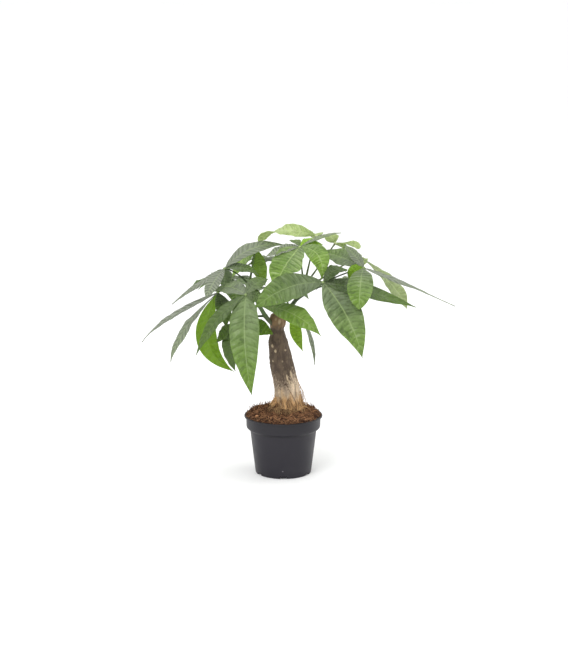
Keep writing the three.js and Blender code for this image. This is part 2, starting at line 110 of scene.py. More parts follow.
def waves(points: np.ndarray, size: float, seed: int, count: int = 20) -> np.ndarray:
    """Smooth noise: a sum of sines, each along a random direction with a wavelength near size.

    Args:
        points: Places, with coordinates along the last axis.
        size: Typical distance from crest to crest.
        seed: Seed of the directions, wavelengths and phases.
        count: How many sines are summed.

    Returns:
        Values of about -1.5 to 1.5, one for each place.
    """
    rng = np.random.default_rng(seed)
    heading = unit(rng.normal(size=(count, points.shape[-1])))
    pitch = 2 * math.pi / size * rng.uniform(0.6, 1.6, count)
    phase = rng.uniform(0, 2 * math.pi, count)
    return np.sin(points @ (heading * pitch[:, None]).T + phase).sum(-1) / math.sqrt(count)


def bezier(start: np.ndarray, middle: np.ndarray, end: np.ndarray, t: np.ndarray) -> np.ndarray:
    """Parabola: start, middle and end weighted by the squares and product of 1-t and t."""
    t = t[:, None]
    return (1 - t) ** 2 * start + 2 * t * (1 - t) * middle + t ** 2 * end


@dataclass(frozen=True)
class Spline:
    """Centripetal Catmull-Rom curve through points, sampled evenly by its length."""

    knots: Sequence[Vector3]
    samples: int = 400

    def sampled(self) -> tuple[np.ndarray, np.ndarray]:
        """Dense points of the curve and the share of its length at each.

        Returns:
            Points and shares from 0 to 1.
        """
        k = np.array(self.knots, float)
        k = np.vstack([2 * k[0] - k[1], k, 2 * k[-1] - k[-2]])
        gap = np.sqrt(np.linalg.norm(np.diff(k, axis=0), axis=1))
        time = np.concatenate([[0], np.cumsum(gap)])
        at = np.linspace(time[1], time[-2], self.samples)
        i = np.clip(np.searchsorted(time, at, side="right") - 1, 1, len(k) - 3)
        p = [k[i + j] for j in (-1, 0, 1, 2)]
        t = [time[i + j] for j in (-1, 0, 1, 2)]

        def mix(a: np.ndarray, b: np.ndarray, low: np.ndarray, high: np.ndarray) -> np.ndarray:
            """Points between a and b, by where the wanted time lies between low and high."""
            share = ((at - low) / (high - low))[:, None]
            return a * (1 - share) + b * share

        a = [mix(p[j], p[j + 1], t[j], t[j + 1]) for j in range(3)]
        b = [mix(a[j], a[j + 1], t[j], t[j + 2]) for j in range(2)]
        points = mix(b[0], b[1], t[1], t[2])
        length = np.concatenate([[0], np.cumsum(np.linalg.norm(np.diff(points, axis=0), axis=1))])
        return points, length / length[-1]

    def at(self, share: np.ndarray | float) -> np.ndarray:
        """Points at shares of the curve's length."""
        points, length = self.sampled()
        return np.stack([np.interp(share, length, points[:, axis]) for axis in range(3)], axis=-1)


# Surfaces

@dataclass
class Surface:
    """Quads over points, with a place on the piece's map and three paint masks at each point."""

    points: np.ndarray
    quads: np.ndarray
    uv: np.ndarray
    paint: np.ndarray

    @staticmethod
    def joined(parts: Iterable["Surface"]) -> "Surface":
        """One surface that holds several.

        Args:
            parts: Surfaces to put together.

        Returns:
            The joined surface.
        """
        parts = list(parts)
        first = np.cumsum([0] + [len(part.points) for part in parts[:-1]])
        return Surface(
            np.concatenate([part.points for part in parts]),
            np.concatenate([part.quads + shift for part, shift in zip(parts, first)]),
            np.concatenate([part.uv for part in parts]),
            np.concatenate([part.paint for part in parts]),
        )

    def facing(self) -> np.ndarray:
        """Normals of the faces at their first corners, with a length that grows with the face."""
        a, b, d = (self.points[self.quads[:, k]] for k in (0, 1, 3))
        return np.cross(b - a, d - a)

    def turned(self, wrong: np.ndarray | bool) -> "Surface":
        """The same surface with its wrong faces turned round: some, all or none of them."""
        quads = np.where(np.reshape(wrong, (-1, 1)), self.quads[:, ::-1], self.quads)
        return Surface(self.points, quads, self.uv, self.paint)

    def outward(self) -> "Surface":
        """The same surface with its faces turned to look out.

        Returns:
            A surface whose signed volume is positive.
        """
        a, b, c, d = (self.points[self.quads[:, k]] for k in range(4))
        volume = np.einsum("ij,ij->i", a, np.cross(b, c)) + np.einsum("ij,ij->i", a, np.cross(c, d))
        return self.turned(volume.sum() <= 0)

    def piece(self, name: str, material: bpy.types.Material, sharp: float = 40) -> bpy.types.Object:
        """A Blender object of this surface, at the origin and smooth shaded.

        Args:
            name: Name of the object.
            material: Its material.
            sharp: Angle in degrees above which an edge stays sharp.

        Returns:
            The object, linked to the scene.
        """
        mesh = bpy.data.meshes.new(name)
        mesh.from_pydata(self.points.tolist(), [], self.clean_faces())
        layer = mesh.uv_layers.new(name="Map")
        corners = np.empty(len(mesh.loops), dtype=np.int32)
        mesh.loops.foreach_get("vertex_index", corners)
        layer.data.foreach_set("uv", self.uv[corners].ravel())
        masks = mesh.attributes.new("paint", "FLOAT_COLOR", "POINT")
        rgba = np.concatenate([self.paint, np.ones((len(self.paint), 1))], axis=1)
        masks.data.foreach_set("color", rgba.ravel())
        mesh.polygons.foreach_set("use_smooth", np.ones(len(mesh.polygons), dtype=bool))
        mesh.set_sharp_from_angle(angle=math.radians(sharp))
        mesh.materials.append(material)
        mesh.update()
        thing = bpy.data.objects.new(name, mesh)
        bpy.context.scene.collection.objects.link(thing)
        return thing

    def clean_faces(self) -> list[list[int]]:
        """Point numbers of each face, where a doubled corner makes a triangle."""
        return [list(dict.fromkeys(face)) for face in self.quads.tolist()]


def rings_surface(
    rings: np.ndarray, uv: np.ndarray | None = None,
    paint: np.ndarray | Sequence[float] = (0, 0, 0), caps: bool = True,
) -> Surface:
    """Closed skin through rings of points, with strips across each end ring.

    Args:
        rings: Points by row, then round the ring.
        uv: Map places, in the same order. Without them, the points' own x and y.
        paint: Masks, in the same order, or the three of the whole skin.
        caps: Whether the two ends are closed.

    Returns:
        The surface, faces out.
    """
    rows, sides = rings.shape[:2]
    number = np.arange(rows * sides).reshape(rows, sides)
    turned = np.roll(number, -1, axis=1)
    quads = [np.stack([number[:-1], turned[:-1], turned[1:], number[1:]], axis=-1).reshape(-1, 4)]
    if caps:
        i = np.arange(sides // 2)
        strip = np.stack([i, i + 1, sides - 2 - i, sides - 1 - i], axis=-1)
        strip = strip[strip[:, 1] <= strip[:, 2]]
        quads += [strip[:, ::-1], strip + (rows - 1) * sides]
    place = (rings[..., :2] if uv is None else uv).reshape(-1, 2)
    masks = np.array(np.broadcast_to(paint, rings.shape), float).reshape(-1, 3)
    return Surface(rings.reshape(-1, 3), np.concatenate(quads), place, masks).outward()


def tube(
    path: np.ndarray, radius: np.ndarray, sides: int, paint: Sequence[float] = (0, 0, 0),
) -> Surface:
    """Round bar along a path: each ring stands square to the path, on two axes taken from one fixed
    direction that the path never follows.

    Args:
        path: Points of the middle line.
        radius: Radius at each point.
        sides: Points round each ring.
        paint: Masks of the whole bar.

    Returns:
        The closed bar.
    """
    along = unit(np.gradient(path, axis=0))
    fixed = np.eye(3)[np.argmin(np.abs(along).sum(axis=0))]
    first = unit(fixed - (along @ fixed)[:, None] * along)
    second = np.cross(along, first)
    angle = circle(sides)
    spoke = first[:, None] * np.cos(angle)[:, None] + second[:, None] * np.sin(angle)[:, None]
    rings = path[:, None] + radius[:, None, None] * spoke
    share = np.linspace(0, 1, len(path))
    uv = np.stack(np.broadcast_arrays(share[:, None], angle / (2 * math.pi)), axis=-1)
    return rings_surface(rings, uv, paint)


def thread(points: np.ndarray, width: float, taper: Sequence[float], tint: float) -> Surface:
    """Four-sided fibre through points in millimetres, from dark at a tint of 0 to light at 1."""
    return tube(points * MM, width * np.array(taper) * MM, 4, (tint, 0, 0))


def settle(piece: bpy.types.Object, slot: str, *nodes: str) -> bpy.types.Object:
    """Puts a piece on the root body and hides the nodes that it stands for.

    Args:
        piece: The piece.
        slot: Material slot of the record. Not used.
        nodes: Nodes that it replaces.

    Returns:
        The piece.
    """
    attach(piece, BODY)
    if nodes:
        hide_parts(*nodes)
    return piece


# Materials

class Nodes:
    """Builds a material's nodes, with short calls for the few kinds that are used."""

    def __init__(self, name: str) -> None:
        """Starts an empty material.

        Args:
            name: Name of the material.
        """
        self.material = bpy.data.materials.new(name)
        self.material.use_nodes = True
        self.tree = self.material.node_tree
        self.tree.nodes.clear()
        self.output = self.tree.nodes.new("ShaderNodeOutputMaterial")

    def node(self, kind: str, settings: dict | None = None, **inputs: object) -> bpy.types.Node:
        """Adds a node.

        Args:
            kind: Node type, without its ShaderNode prefix.
            settings: Properties of the node.
            inputs: Values or sockets by input name, with _ for a space.

        Returns:
            The node.
        """
        made = self.tree.nodes.new("ShaderNode" + kind)
        for key, value in (settings or {}).items():
            setattr(made, key, value)
        for key, value in inputs.items():
            self.feed(made.inputs[key.replace("_", " ")], value)
        return made

    def feed(self, socket: Socket, value: object) -> None:
        """Sets a socket's value, or links another socket to it.

        Args:
            socket: The input.
            value: A value or an output socket.
        """
        if isinstance(value, Socket):
            self.tree.links.new(value, socket)
        else:
            socket.default_value = value

    def filled(self, kind: str, values: dict[int, object], **settings: object) -> bpy.types.Node:
        """Adds a node whose inputs are filled by number.

        Args:
            kind: Node type, without its ShaderNode prefix.
            values: Values or sockets by input number.
            settings: Properties of the node.

        Returns:
            The node.
        """
        made = self.node(kind, settings)
        for place, value in values.items():
            self.feed(made.inputs[place], value)
        return made

    def math(self, operation: str, *values: object, clamp: bool = False) -> Socket:
        """A math node's result on one or two values, held between 0 and 1 if clamp is set."""
        inputs = dict(enumerate(values))
        return self.filled("Math", inputs, operation=operation, use_clamp=clamp).outputs[0]

    def chain(self, operation: str, values: Sequence[object]) -> Socket:
        """One math operation carried through several values from the first to the last.

        Args:
            operation: Name of the operation.
            values: Values or sockets.

        Returns:
            The result's socket.
        """
        result = values[0]
        for value in values[1:]:
            result = self.math(operation, result, value)
        return result

    def times(self, *values: object) -> Socket:
        """Product of values or sockets."""
        return self.chain("MULTIPLY", values)

    def plus(self, *values: object) -> Socket:
        """Sum of values or sockets."""
        return self.chain("ADD", values)

    def minus(self, first: object, second: object) -> Socket:
        """Difference of two values or sockets."""
        return self.math("SUBTRACT", first, second)

    def step(
        self, value: object, low: float, high: float, start: float = 0.0, end: float = 1.0,
    ) -> Socket:
        """A smooth step of a value.

        Args:
            value: Value or socket to step.
            low: Where the step starts.
            high: Where it ends.
            start: Result before low.
            end: Result past high.

        Returns:
            The result's socket.
        """
        inputs = dict(enumerate((value, low, high, start, end)))
        return self.filled("MapRange", inputs, interpolation_type="SMOOTHSTEP").outputs[0]

    def between(
        self, value: object, rise: float, full: float, fade: float, gone: float,
    ) -> Socket:
        """Share that grows from 0 at rise to 1 at full, and falls from 1 at fade to 0 at gone."""
        return self.times(self.step(value, rise, full), self.step(value, gone, fade))

    def sway(self, noise: Socket, width: float) -> Socket:
        """A noise spread over a width about 0."""
        return self.times(self.minus(noise, 0.5), width)

    def radial(self, low: float, high: float, start: float = 0.0, end: float = 1.0) -> Socket:
        """A smooth step between two distances from the upright axis, made on their squares."""
        x, y = self.coordinate(0), self.coordinate(1)
        away = self.plus(self.times(x, x), self.times(y, y))
        return self.step(away, low ** 2, high ** 2, start, end)

    def mix(self, share: object, first: object, second: object, blend: str = "MIX") -> Socket:
        """Two colours mixed, by the share of the second one and a blend type."""
        inputs = {0: share, 6: first, 7: second}
        settings = {"data_type": "RGBA", "blend_type": blend, "clamp_factor": True}
        return self.filled("Mix", inputs, **settings).outputs[2]

    def layered(self, tone: object, *layers: tuple) -> Socket:
        """Colours laid over a first one in turn.

        Args:
            tone: The first colour or socket.
            layers: Share and colour of each layer, and its blend type if that isn't MIX.

        Returns:
            The last colour's socket.
        """
        for share, *over in layers:
            tone = self.mix(share, tone, *over)
        return tone

    def noise(
        self, scale: float, detail: float = 3.0, stretch: Vector3 = (1, 1, 1),
        roughness: float = 0.55, place: object = None,
    ) -> Socket:
        """Noise over the object's own coordinates, or over another vector.

        Args:
            scale: Waves to the metre.
            detail: Octaves.
            stretch: Scale along each axis.
            roughness: Weight of the finer octaves.
            place: Socket of the other vector.

        Returns:
            The noise value's socket.
        """
        place = place or self.node("TexCoord").outputs["Object"]
        mapped = self.node("Mapping", Vector=place, Scale=stretch).outputs[0]
        inputs = {"Vector": mapped, "Scale": scale, "Detail": detail, "Roughness": roughness}
        return self.node("TexNoise", **inputs).outputs[0]

    def paint(self) -> Sequence[Socket]:
        """Sockets of the piece's three paint masks."""
        read = self.node("Attribute", {"attribute_type": "GEOMETRY", "attribute_name": "paint"})
        return self.node("SeparateColor", Color=read.outputs["Color"]).outputs

    def coordinate(self, axis: int) -> Socket:
        """The object's own x, y or height over the floor in metres, by the axis from 0 to 2."""
        place = self.node("TexCoord").outputs["Object"]
        return self.node("SeparateXYZ", Vector=place).outputs[axis]

    def bump(self, height: Socket, depth: float, strength: float) -> Socket:
        """A normal bumped by a relief whose depth is given in metres."""
        return self.node("Bump", Height=height, Distance=depth, Strength=strength).outputs[0]

    def principled(
        self, colour: Socket, roughness: object, normal: Socket, **others: float,
    ) -> bpy.types.Node:
        """Principled shader, with its other values by input name, with _ for a space."""
        inputs = {"Base_Color": colour, "Roughness": roughness, "Normal": normal, **others}
        return self.node("BsdfPrincipled", **inputs)

    def finished(self, shader: bpy.types.Node) -> bpy.types.Material:
        """Links the last shader and returns the material."""
        self.tree.links.new(shader.outputs[0], self.output.inputs[0])
        return self.material


@dataclass(frozen=True)
class PlasticFinish:
    """Satin black moulded plastic with a fine grain and a trace of dust near the foot, with painted
    shade on the ledge under the band, on the band and above it, and inside the foot ring. The first
    mask marks the small pale moulding mark. Heights, radii and the relief are metres. The line of
    painted shade under the band starts, is darkest, fades and ends at the four heights of the
    ledge."""

    name: str = "pot_plastic"
    colour: Colour = srgb(22, 19, 29)
    # Colour of the painted shade.
    shade: Colour = srgb(8, 7, 9)
    dust: Colour = srgb(56, 53, 58)
    mark: Colour = srgb(120, 116, 122)
    roughness: float = 0.45
    dusty_foot: tuple[float, float] = (0.002, 0.03)
    # Where shade is painted: heights of the ledge and the band, and radii inside the foot ring.
    ledge: tuple[float, float, float, float] = (0.0655, 0.068, 0.0715, 0.0745)
    band: tuple[float, float] = (0.073, 0.0765)
    ring: tuple[float, float] = (0.0428, 0.042)
    shadow: float = 0.35
    relief: float = 0.00012

    def build(self) -> bpy.types.Material:
        """Makes the material.

        Returns:
            The material.
        """
        n = Nodes(self.name)
        grain, cloud = n.noise(900, 2), n.noise(28, 4)
        height = n.coordinate(2)
        low = n.step(height, *self.dusty_foot, 0.3, 0.0)
        dusty = n.math("MULTIPLY", n.step(cloud, 0.45, 0.75), n.plus(low, 0.1), clamp=True)
        # Painted shade on the ledge under the band, on the band and above it, and inside the foot
        # ring.
        under = n.times(n.between(height, *self.ledge), self.shadow)
        under = n.math("MAXIMUM", under, n.step(height, *self.band, 0.0, self.shadow))
        painted_shade = n.math("MAXIMUM", under, n.radial(*self.ring))
        tone = n.layered(
            self.colour, (dusty, self.dust), (painted_shade, self.shade), (n.paint()[0], self.mark),
        )
        rough = n.step(cloud, 0.2, 0.8, self.roughness - 0.06, self.roughness + 0.1)
        normal = n.bump(grain, self.relief, 0.35)
        return n.finished(n.principled(tone, rough, normal, Specular_IOR_Level=0.4))


@dataclass(frozen=True)
class SoilFinish:
    """Loose coir and peat: dark crumbs with lighter fibres in them, with painted shade from the
    first to the second radius of the rim. The rim and the relief are metres."""

    name: str = "soil_coir"
    dark: Colour = srgb(35, 20, 12)
    middle: Colour = srgb(90, 52, 31)
    light: Colour = srgb(166, 115, 79)
    # Radii over which the painted shade towards the rim grows.
    rim: tuple[float, float] = (0.047, 0.057)
    roughness: float = 0.92
    relief: float = 0.0016

    def build(self) -> bpy.types.Material:
        """Makes the material.

        Returns:
            The material.
        """
        n = Nodes(self.name)
        crumb = n.noise(420, 4, roughness=0.65)
        strand, cross = n.noise(700, 3, (0.25, 1.0, 1.0)), n.noise(760, 3, (1.0, 0.22, 1.0))
        lines = n.math("MAXIMUM", n.step(strand, 0.58, 0.7), n.step(cross, 0.6, 0.72))
        tone = n.layered(
            self.dark,
            (n.step(crumb, 0.38, 0.62), self.middle),
            (n.times(lines, 0.65), self.light),
            # Painted shade towards the rim.
            (n.radial(*self.rim, 0.0, 0.5), self.dark),
        )
        normal = n.bump(n.plus(crumb, n.times(lines, 0.4)), self.relief, 0.9)
        return n.finished(n.principled(tone, self.roughness, normal, Specular_IOR_Level=0.25))


@dataclass(frozen=True)
class FibreFinish:
    """Dry plant fibre. The first mask goes from the dark to the light colour. The relief is in
    metres."""

    name: str
    dark: Colour
    light: Colour
    roughness: float = 0.85
    relief: float = 0.0002

    def build(self) -> bpy.types.Material:
        """Makes the material.

        Returns:
            The material.
        """
        n = Nodes(self.name)
        fleck = n.noise(900, 3)
        spots = n.step(fleck, 0.5, 0.7, 0.0, 0.35)
        tone = n.layered(self.dark, (n.paint()[0], self.light), (spots, self.dark))
        normal = n.bump(fleck, self.relief, 0.5)
        return n.finished(n.principled(tone, self.roughness, normal, Specular_IOR_Level=0.3))


@dataclass(frozen=True)
class BarkFinish:
    """Trunk bark: dark above, greyish tan below and straw at the foot, with painted shade in a
    collar below the knob. The masks are the cut top, the pale scars and the straw foot. Heights and
    the relief are metres."""

    name: str = "trunk_bark"
    dark: Colour = srgb(96, 81, 66)
    deep: Colour = srgb(72, 59, 48)
    grey: Colour = srgb(140, 125, 106)
    tan: Colour = srgb(206, 181, 150)
    pale: Colour = srgb(232, 211, 184)
    straw: Colour = srgb(204, 162, 108)
    earth: Colour = srgb(120, 88, 56)
    cut: Colour = srgb(132, 106, 74)
    scar: Colour = srgb(186, 166, 136)
    change: tuple[float, float] = (0.129, 0.15)
    # Heights of the painted shade below the knob.
    collar_shade: tuple[float, float, float, float] = (0.2185, 0.222, 0.2245, 0.2275)
    roughness: float = 0.75
    relief: float = 0.0008

    def build(self) -> bpy.types.Material:
        """Makes the material.

        Returns:
            The material.
        """
        n = Nodes(self.name)
        cut, scars, foot = n.paint()
        x, height = n.coordinate(0), n.coordinate(2)
        furrow = n.noise(260, 5, (1, 1, 0.16), 0.65)
        cloud = n.noise(60, 4, (1, 1, 0.4), 0.6)
        fleck = n.noise(520, 3, (1, 1, 0.6), 0.6)
        patch = n.noise(150, 4, (1, 1, 0.6), 0.6)
        upper = n.layered(
            self.deep,
            (n.step(patch, 0.35, 0.65), self.dark),
            (n.step(fleck, 0.6, 0.72, 0.0, 0.35), self.grey),
        )
        east = n.step(x, 0.002, 0.022, 0.0, 0.5)
        lower = n.layered(
            self.grey,
            (n.step(furrow, 0.36, 0.78), self.tan),
            (n.step(fleck, 0.54, 0.66, 0.0, 0.6), self.dark),
            (n.times(east, n.step(furrow, 0.3, 0.6)), self.pale),
        )
        aside = n.math("ABSOLUTE", n.plus(x, 0.004))
        ragged = n.plus(height, n.sway(cloud, 0.05), n.sway(fleck, 0.07))
        ragged = n.minus(ragged, n.times(aside, 0.6))
        level = n.plus(height, n.sway(cloud, 0.008))
        tone = n.layered(
            lower,
            (n.step(ragged, *self.change), upper),
            (n.times(foot, n.step(furrow, 0.3, 0.6, 0.25, 1.0)), self.straw),
            (n.times(foot, n.step(furrow, 0.46, 0.34, 0.0, 0.6)), self.earth),
            (n.times(cut, n.step(patch, 0.3, 0.6, 0.45, 1.0)), self.cut),
            # Painted shade below the knob.
            (n.times(n.between(level, *self.collar_shade), 0.7), self.deep),
            (scars, self.scar),
        )
        normal = n.bump(n.plus(furrow, n.times(fleck, 0.5)), self.relief, 0.65)
        return n.finished(n.principled(tone, self.roughness, normal, Specular_IOR_Level=0.35))


@dataclass(frozen=True)
class StemFinish:
    """Green shoot, browner towards the trunk. The first mask is how woody it is. The relief is in
    metres."""

    name: str = "green_stem"
    green: Colour = srgb(76, 100, 50)
    wood: Colour = srgb(74, 66, 46)
    pale: Colour = srgb(116, 136, 82)
    roughness: float = 0.5
    relief: float = 0.0003

    def build(self) -> bpy.types.Material:
        """Makes the material.

        Returns:
            The material.
        """
        n = Nodes(self.name)
        streak = n.noise(220, 4, (1, 1, 0.25))
        lines = n.step(streak, 0.5, 0.75, 0.0, 0.6)
        tone = n.layered(self.green, (lines, self.pale), (n.paint()[0], self.wood))
        return n.finished(n.principled(tone, self.roughness, n.bump(streak, self.relief, 0.4)))


@dataclass(frozen=True)
class LeafFinish:
    """Leaf with pale ribs and uneven pleats along the side veins, with painted shade in the pleats
    and painted sheen and highlights on them, a painted grey sheen towards its base and on one half,
    fresher green towards its tip and lighter at its edge with painted light shining through. A grey
    leaflet has a painted grey reflection with slanting lines of painted shade. The map runs along
    and across each leaflet. The masks are the cast (0 painted grey reflection, 0.5 plain, 1 painted
    light that shines through), the underside and how much of the dark stem colour it has, which on
    whole leaflets is painted shade. The relief is in metres."""

    name: str
    deep: Colour
    top: Colour
    fresh: Colour
    # Painted light shining through, also the tint of the translucent light.
    glow: Colour
    under: Colour
    rib: Colour
    # Dark stem colour, also painted shade on leaflets that lie in shade.
    stem: Colour
    # Painted grey sheen, painted grey reflection, then painted shade for the hatch lines and the
    # pleats.
    painted_sheen: Colour = srgb(154, 160, 144)
    painted_reflection: Colour = srgb(160, 162, 154)
    hatch_shade: Colour = srgb(84, 92, 74)
    shade: Colour = srgb(148, 158, 112)
    roughness: float = 0.42
    through: float = 0.28
    lines: float = 13.0
    line_slant: float = 0.09
    relief: float = 0.0014

    def build(self) -> bpy.types.Material:
        """Makes the material.

        Returns:
            The material.
        """
        n = Nodes(self.name)
        cast, below, dark = n.paint()
        # lit marks painted light shining through, and grey marks a painted grey reflection.
        lit, grey = n.step(cast, 0.5, 1.0), n.step(cast, 0.5, 0.0)
        calm = n.step(cast, 0.5, 1.0, 1.0, 0.25)
        place = n.node("SeparateXYZ", Vector=n.node("UVMap", {"uv_map": "Map"}).outputs[0])
        along, across = place.outputs[0], place.outputs[1]
        out = n.math("ABSOLUTE", n.minus(n.times(across, 2.0), 1.0))
        bent = n.times(n.math("POWER", out, BEND), SLANT)
        phase = n.times(n.minus(along, bent), float(VEINS))
        near, turn = n.math("PINGPONG", phase, 0.5), n.math("FRACT", phase)
        cloud, cell = n.noise(34, 4), n.noise(420, 3)
        drift = n.times(n.plus(n.coordinate(0), n.coordinate(1)), 14.0)
        folded = n.node("CombineXYZ", X=phase, Y=across, Z=drift).outputs[0]
        pleat = n.noise(1.0, 4, (1.2, 3.0, 1.0), 0.65, folded)
        middle = n.between(out, 0.04, 0.2, 0.85, 1.0)
        uneven = n.times(middle, n.step(pleat, 0.38, 0.64, 0.1, 1.0), calm)
        # Painted shade in the valleys between side veins and painted highlight on their crests.
        valley_shade = n.times(n.between(turn, 0.62, 0.88, 0.94, 1.0), uneven, 0.75)
        crest_highlight = n.times(n.between(turn, 0.0, 0.1, 0.2, 0.42), uneven, 0.24)
        # Slanting lines of painted shade on a grey leaflet.
        lean = n.times(n.minus(along, n.times(out, self.line_slant)), self.lines)
        hatch_shade = n.step(n.math("PINGPONG", lean, 0.5), 0.18, 0.4)
        hatch_shade = n.times(hatch_shade, grey, n.step(out, 0.04, 0.2, 0.3, 0.9))
        vein = n.times(n.step(near, 0.02, 0.14, 1.0, 0.0), n.step(out, 0.75, 1.0, 1.0, 0.2))
        rib = n.times(n.step(out, 0.015, 0.06, 1.0, 0.0), n.step(lit, 0.2, 1.0, 0.62, 0.15))
        tone = n.layered(
            self.deep,
            (n.step(cloud, 0.3, 0.72), self.top),
            (n.times(n.step(cell, 0.4, 0.7), 0.25), self.top),
            # Painted grey sheen towards the base and on one half.
            (n.step(along, 0.55, 0.0, 0.0, 0.3), self.painted_sheen),
            (n.step(across, 0.58, 0.42, 0.0, 0.14), self.painted_sheen),
            (n.step(along, 0.3, 0.9, 0.0, 0.8), self.fresh),
            # Lighter edge: painted light shining through the thin margin.
            (n.step(out, 0.9, 1.0, 0.0, 0.35), self.fresh),
            (n.times(below, 0.75), self.under),
            # Painted light shining through.
            (lit, self.glow),
            # Painted shade in the pleats' hollows, and painted sheen and highlight on their puffs.
            (n.times(calm, n.step(pleat, 0.49, 0.36, 0.0, 0.7)), self.shade, "MULTIPLY"),
            (n.times(calm, n.step(pleat, 0.54, 0.7, 0.0, 0.3)), self.painted_sheen),
            (n.times(calm, n.step(pleat, 0.54, 0.7, 0.0, 0.38)), self.rib),
            # Painted shade in the valleys and painted highlight on the crests.
            (valley_shade, self.shade, "MULTIPLY"),
            (crest_highlight, self.rib),
            # Painted grey reflection on a grey leaflet, then its slanting lines of painted shade.
            (n.times(grey, 0.85), self.painted_reflection),
            (hatch_shade, self.hatch_shade),
            (n.times(vein, 0.1), self.rib),
            (rib, self.rib),
            # Stem colour at the stalk and on petioles, and painted shade on leaflets that lie in
            # shade.
            (dark, self.stem),
        )
        relief = n.plus(n.times(near, 0.8), n.times(cell, 0.25), n.times(pleat, 2.0))
        normal = n.bump(relief, self.relief, 0.8)
        rough = n.step(cell, 0.3, 0.7, self.roughness - 0.05, self.roughness + 0.07)
        gloss = n.principled(tone, rough, normal, Sheen_Weight=0.12, Sheen_Roughness=0.35)
        light = n.node("BsdfTranslucent", Color=n.mix(0.55, tone, self.glow), Normal=normal)
        shaders = {0: self.through, 1: gloss.outputs[0], 2: light.outputs[0]}
        return n.finished(n.filled("MixShader", shaders))


class Tone(Enum):
    """Ages of leaf, each with its finish."""

    # Each finish's glow is painted light shining through, and its sheen and shade colours are
    # painted reflection and shade.
    MATURE = LeafFinish(
        "leaf_mature", deep=srgb(82, 106, 54), top=srgb(118, 140, 84), fresh=srgb(114, 150, 40),
        glow=srgb(122, 164, 8), under=srgb(118, 144, 88), rib=srgb(158, 180, 116),
        stem=srgb(44, 68, 6),
    )
    BRIGHT = LeafFinish(
        "leaf_bright", deep=srgb(84, 116, 44), top=srgb(126, 156, 72), fresh=srgb(126, 160, 60),
        glow=srgb(150, 194, 40), under=srgb(134, 166, 88), rib=srgb(180, 200, 130),
        stem=srgb(72, 96, 30),
    )
    YOUNG = LeafFinish(
        "leaf_young", deep=srgb(146, 170, 92), top=srgb(194, 210, 146), fresh=srgb(190, 208, 138),
        glow=srgb(206, 224, 150), under=srgb(188, 206, 138), rib=srgb(212, 222, 172),
        stem=srgb(90, 104, 56), painted_sheen=srgb(130, 150, 90), shade=srgb(186, 196, 150),
        roughness=0.5, through=0.34,
    )

    @property
    def slot(self) -> str:
        """The record's material slot."""
        return self.value.name


# Pot

@dataclass(frozen=True)
class PotSizes:
    """Pot sizes in millimetres."""

    height: float = 91
    lip_radius: float = 60.2
    lip_thickness: float = 2.6
    band_radius: float = 57.4
    band_bottom: float = 72
    body_top_radius: float = 51.2
    body_top: float = 67
    foot_radius: float = 43.2
    foot_rise: float = 2.6
    ring_width: float = 4.6
    wall: float = 1.4
    floor_lift: float = 3.2
    disc_radius: float = 18
    cone_width: float = 2.4
    notches: int = 6
    notch_width: float = 12
    notch_height: float = 2.8
    drains: int = 6
    drain_radius: float = 4
    drain_circle: float = 29
    seen_depth: float = 80
    mark_height: float = 12.6
    mark_aside: float = -0.8


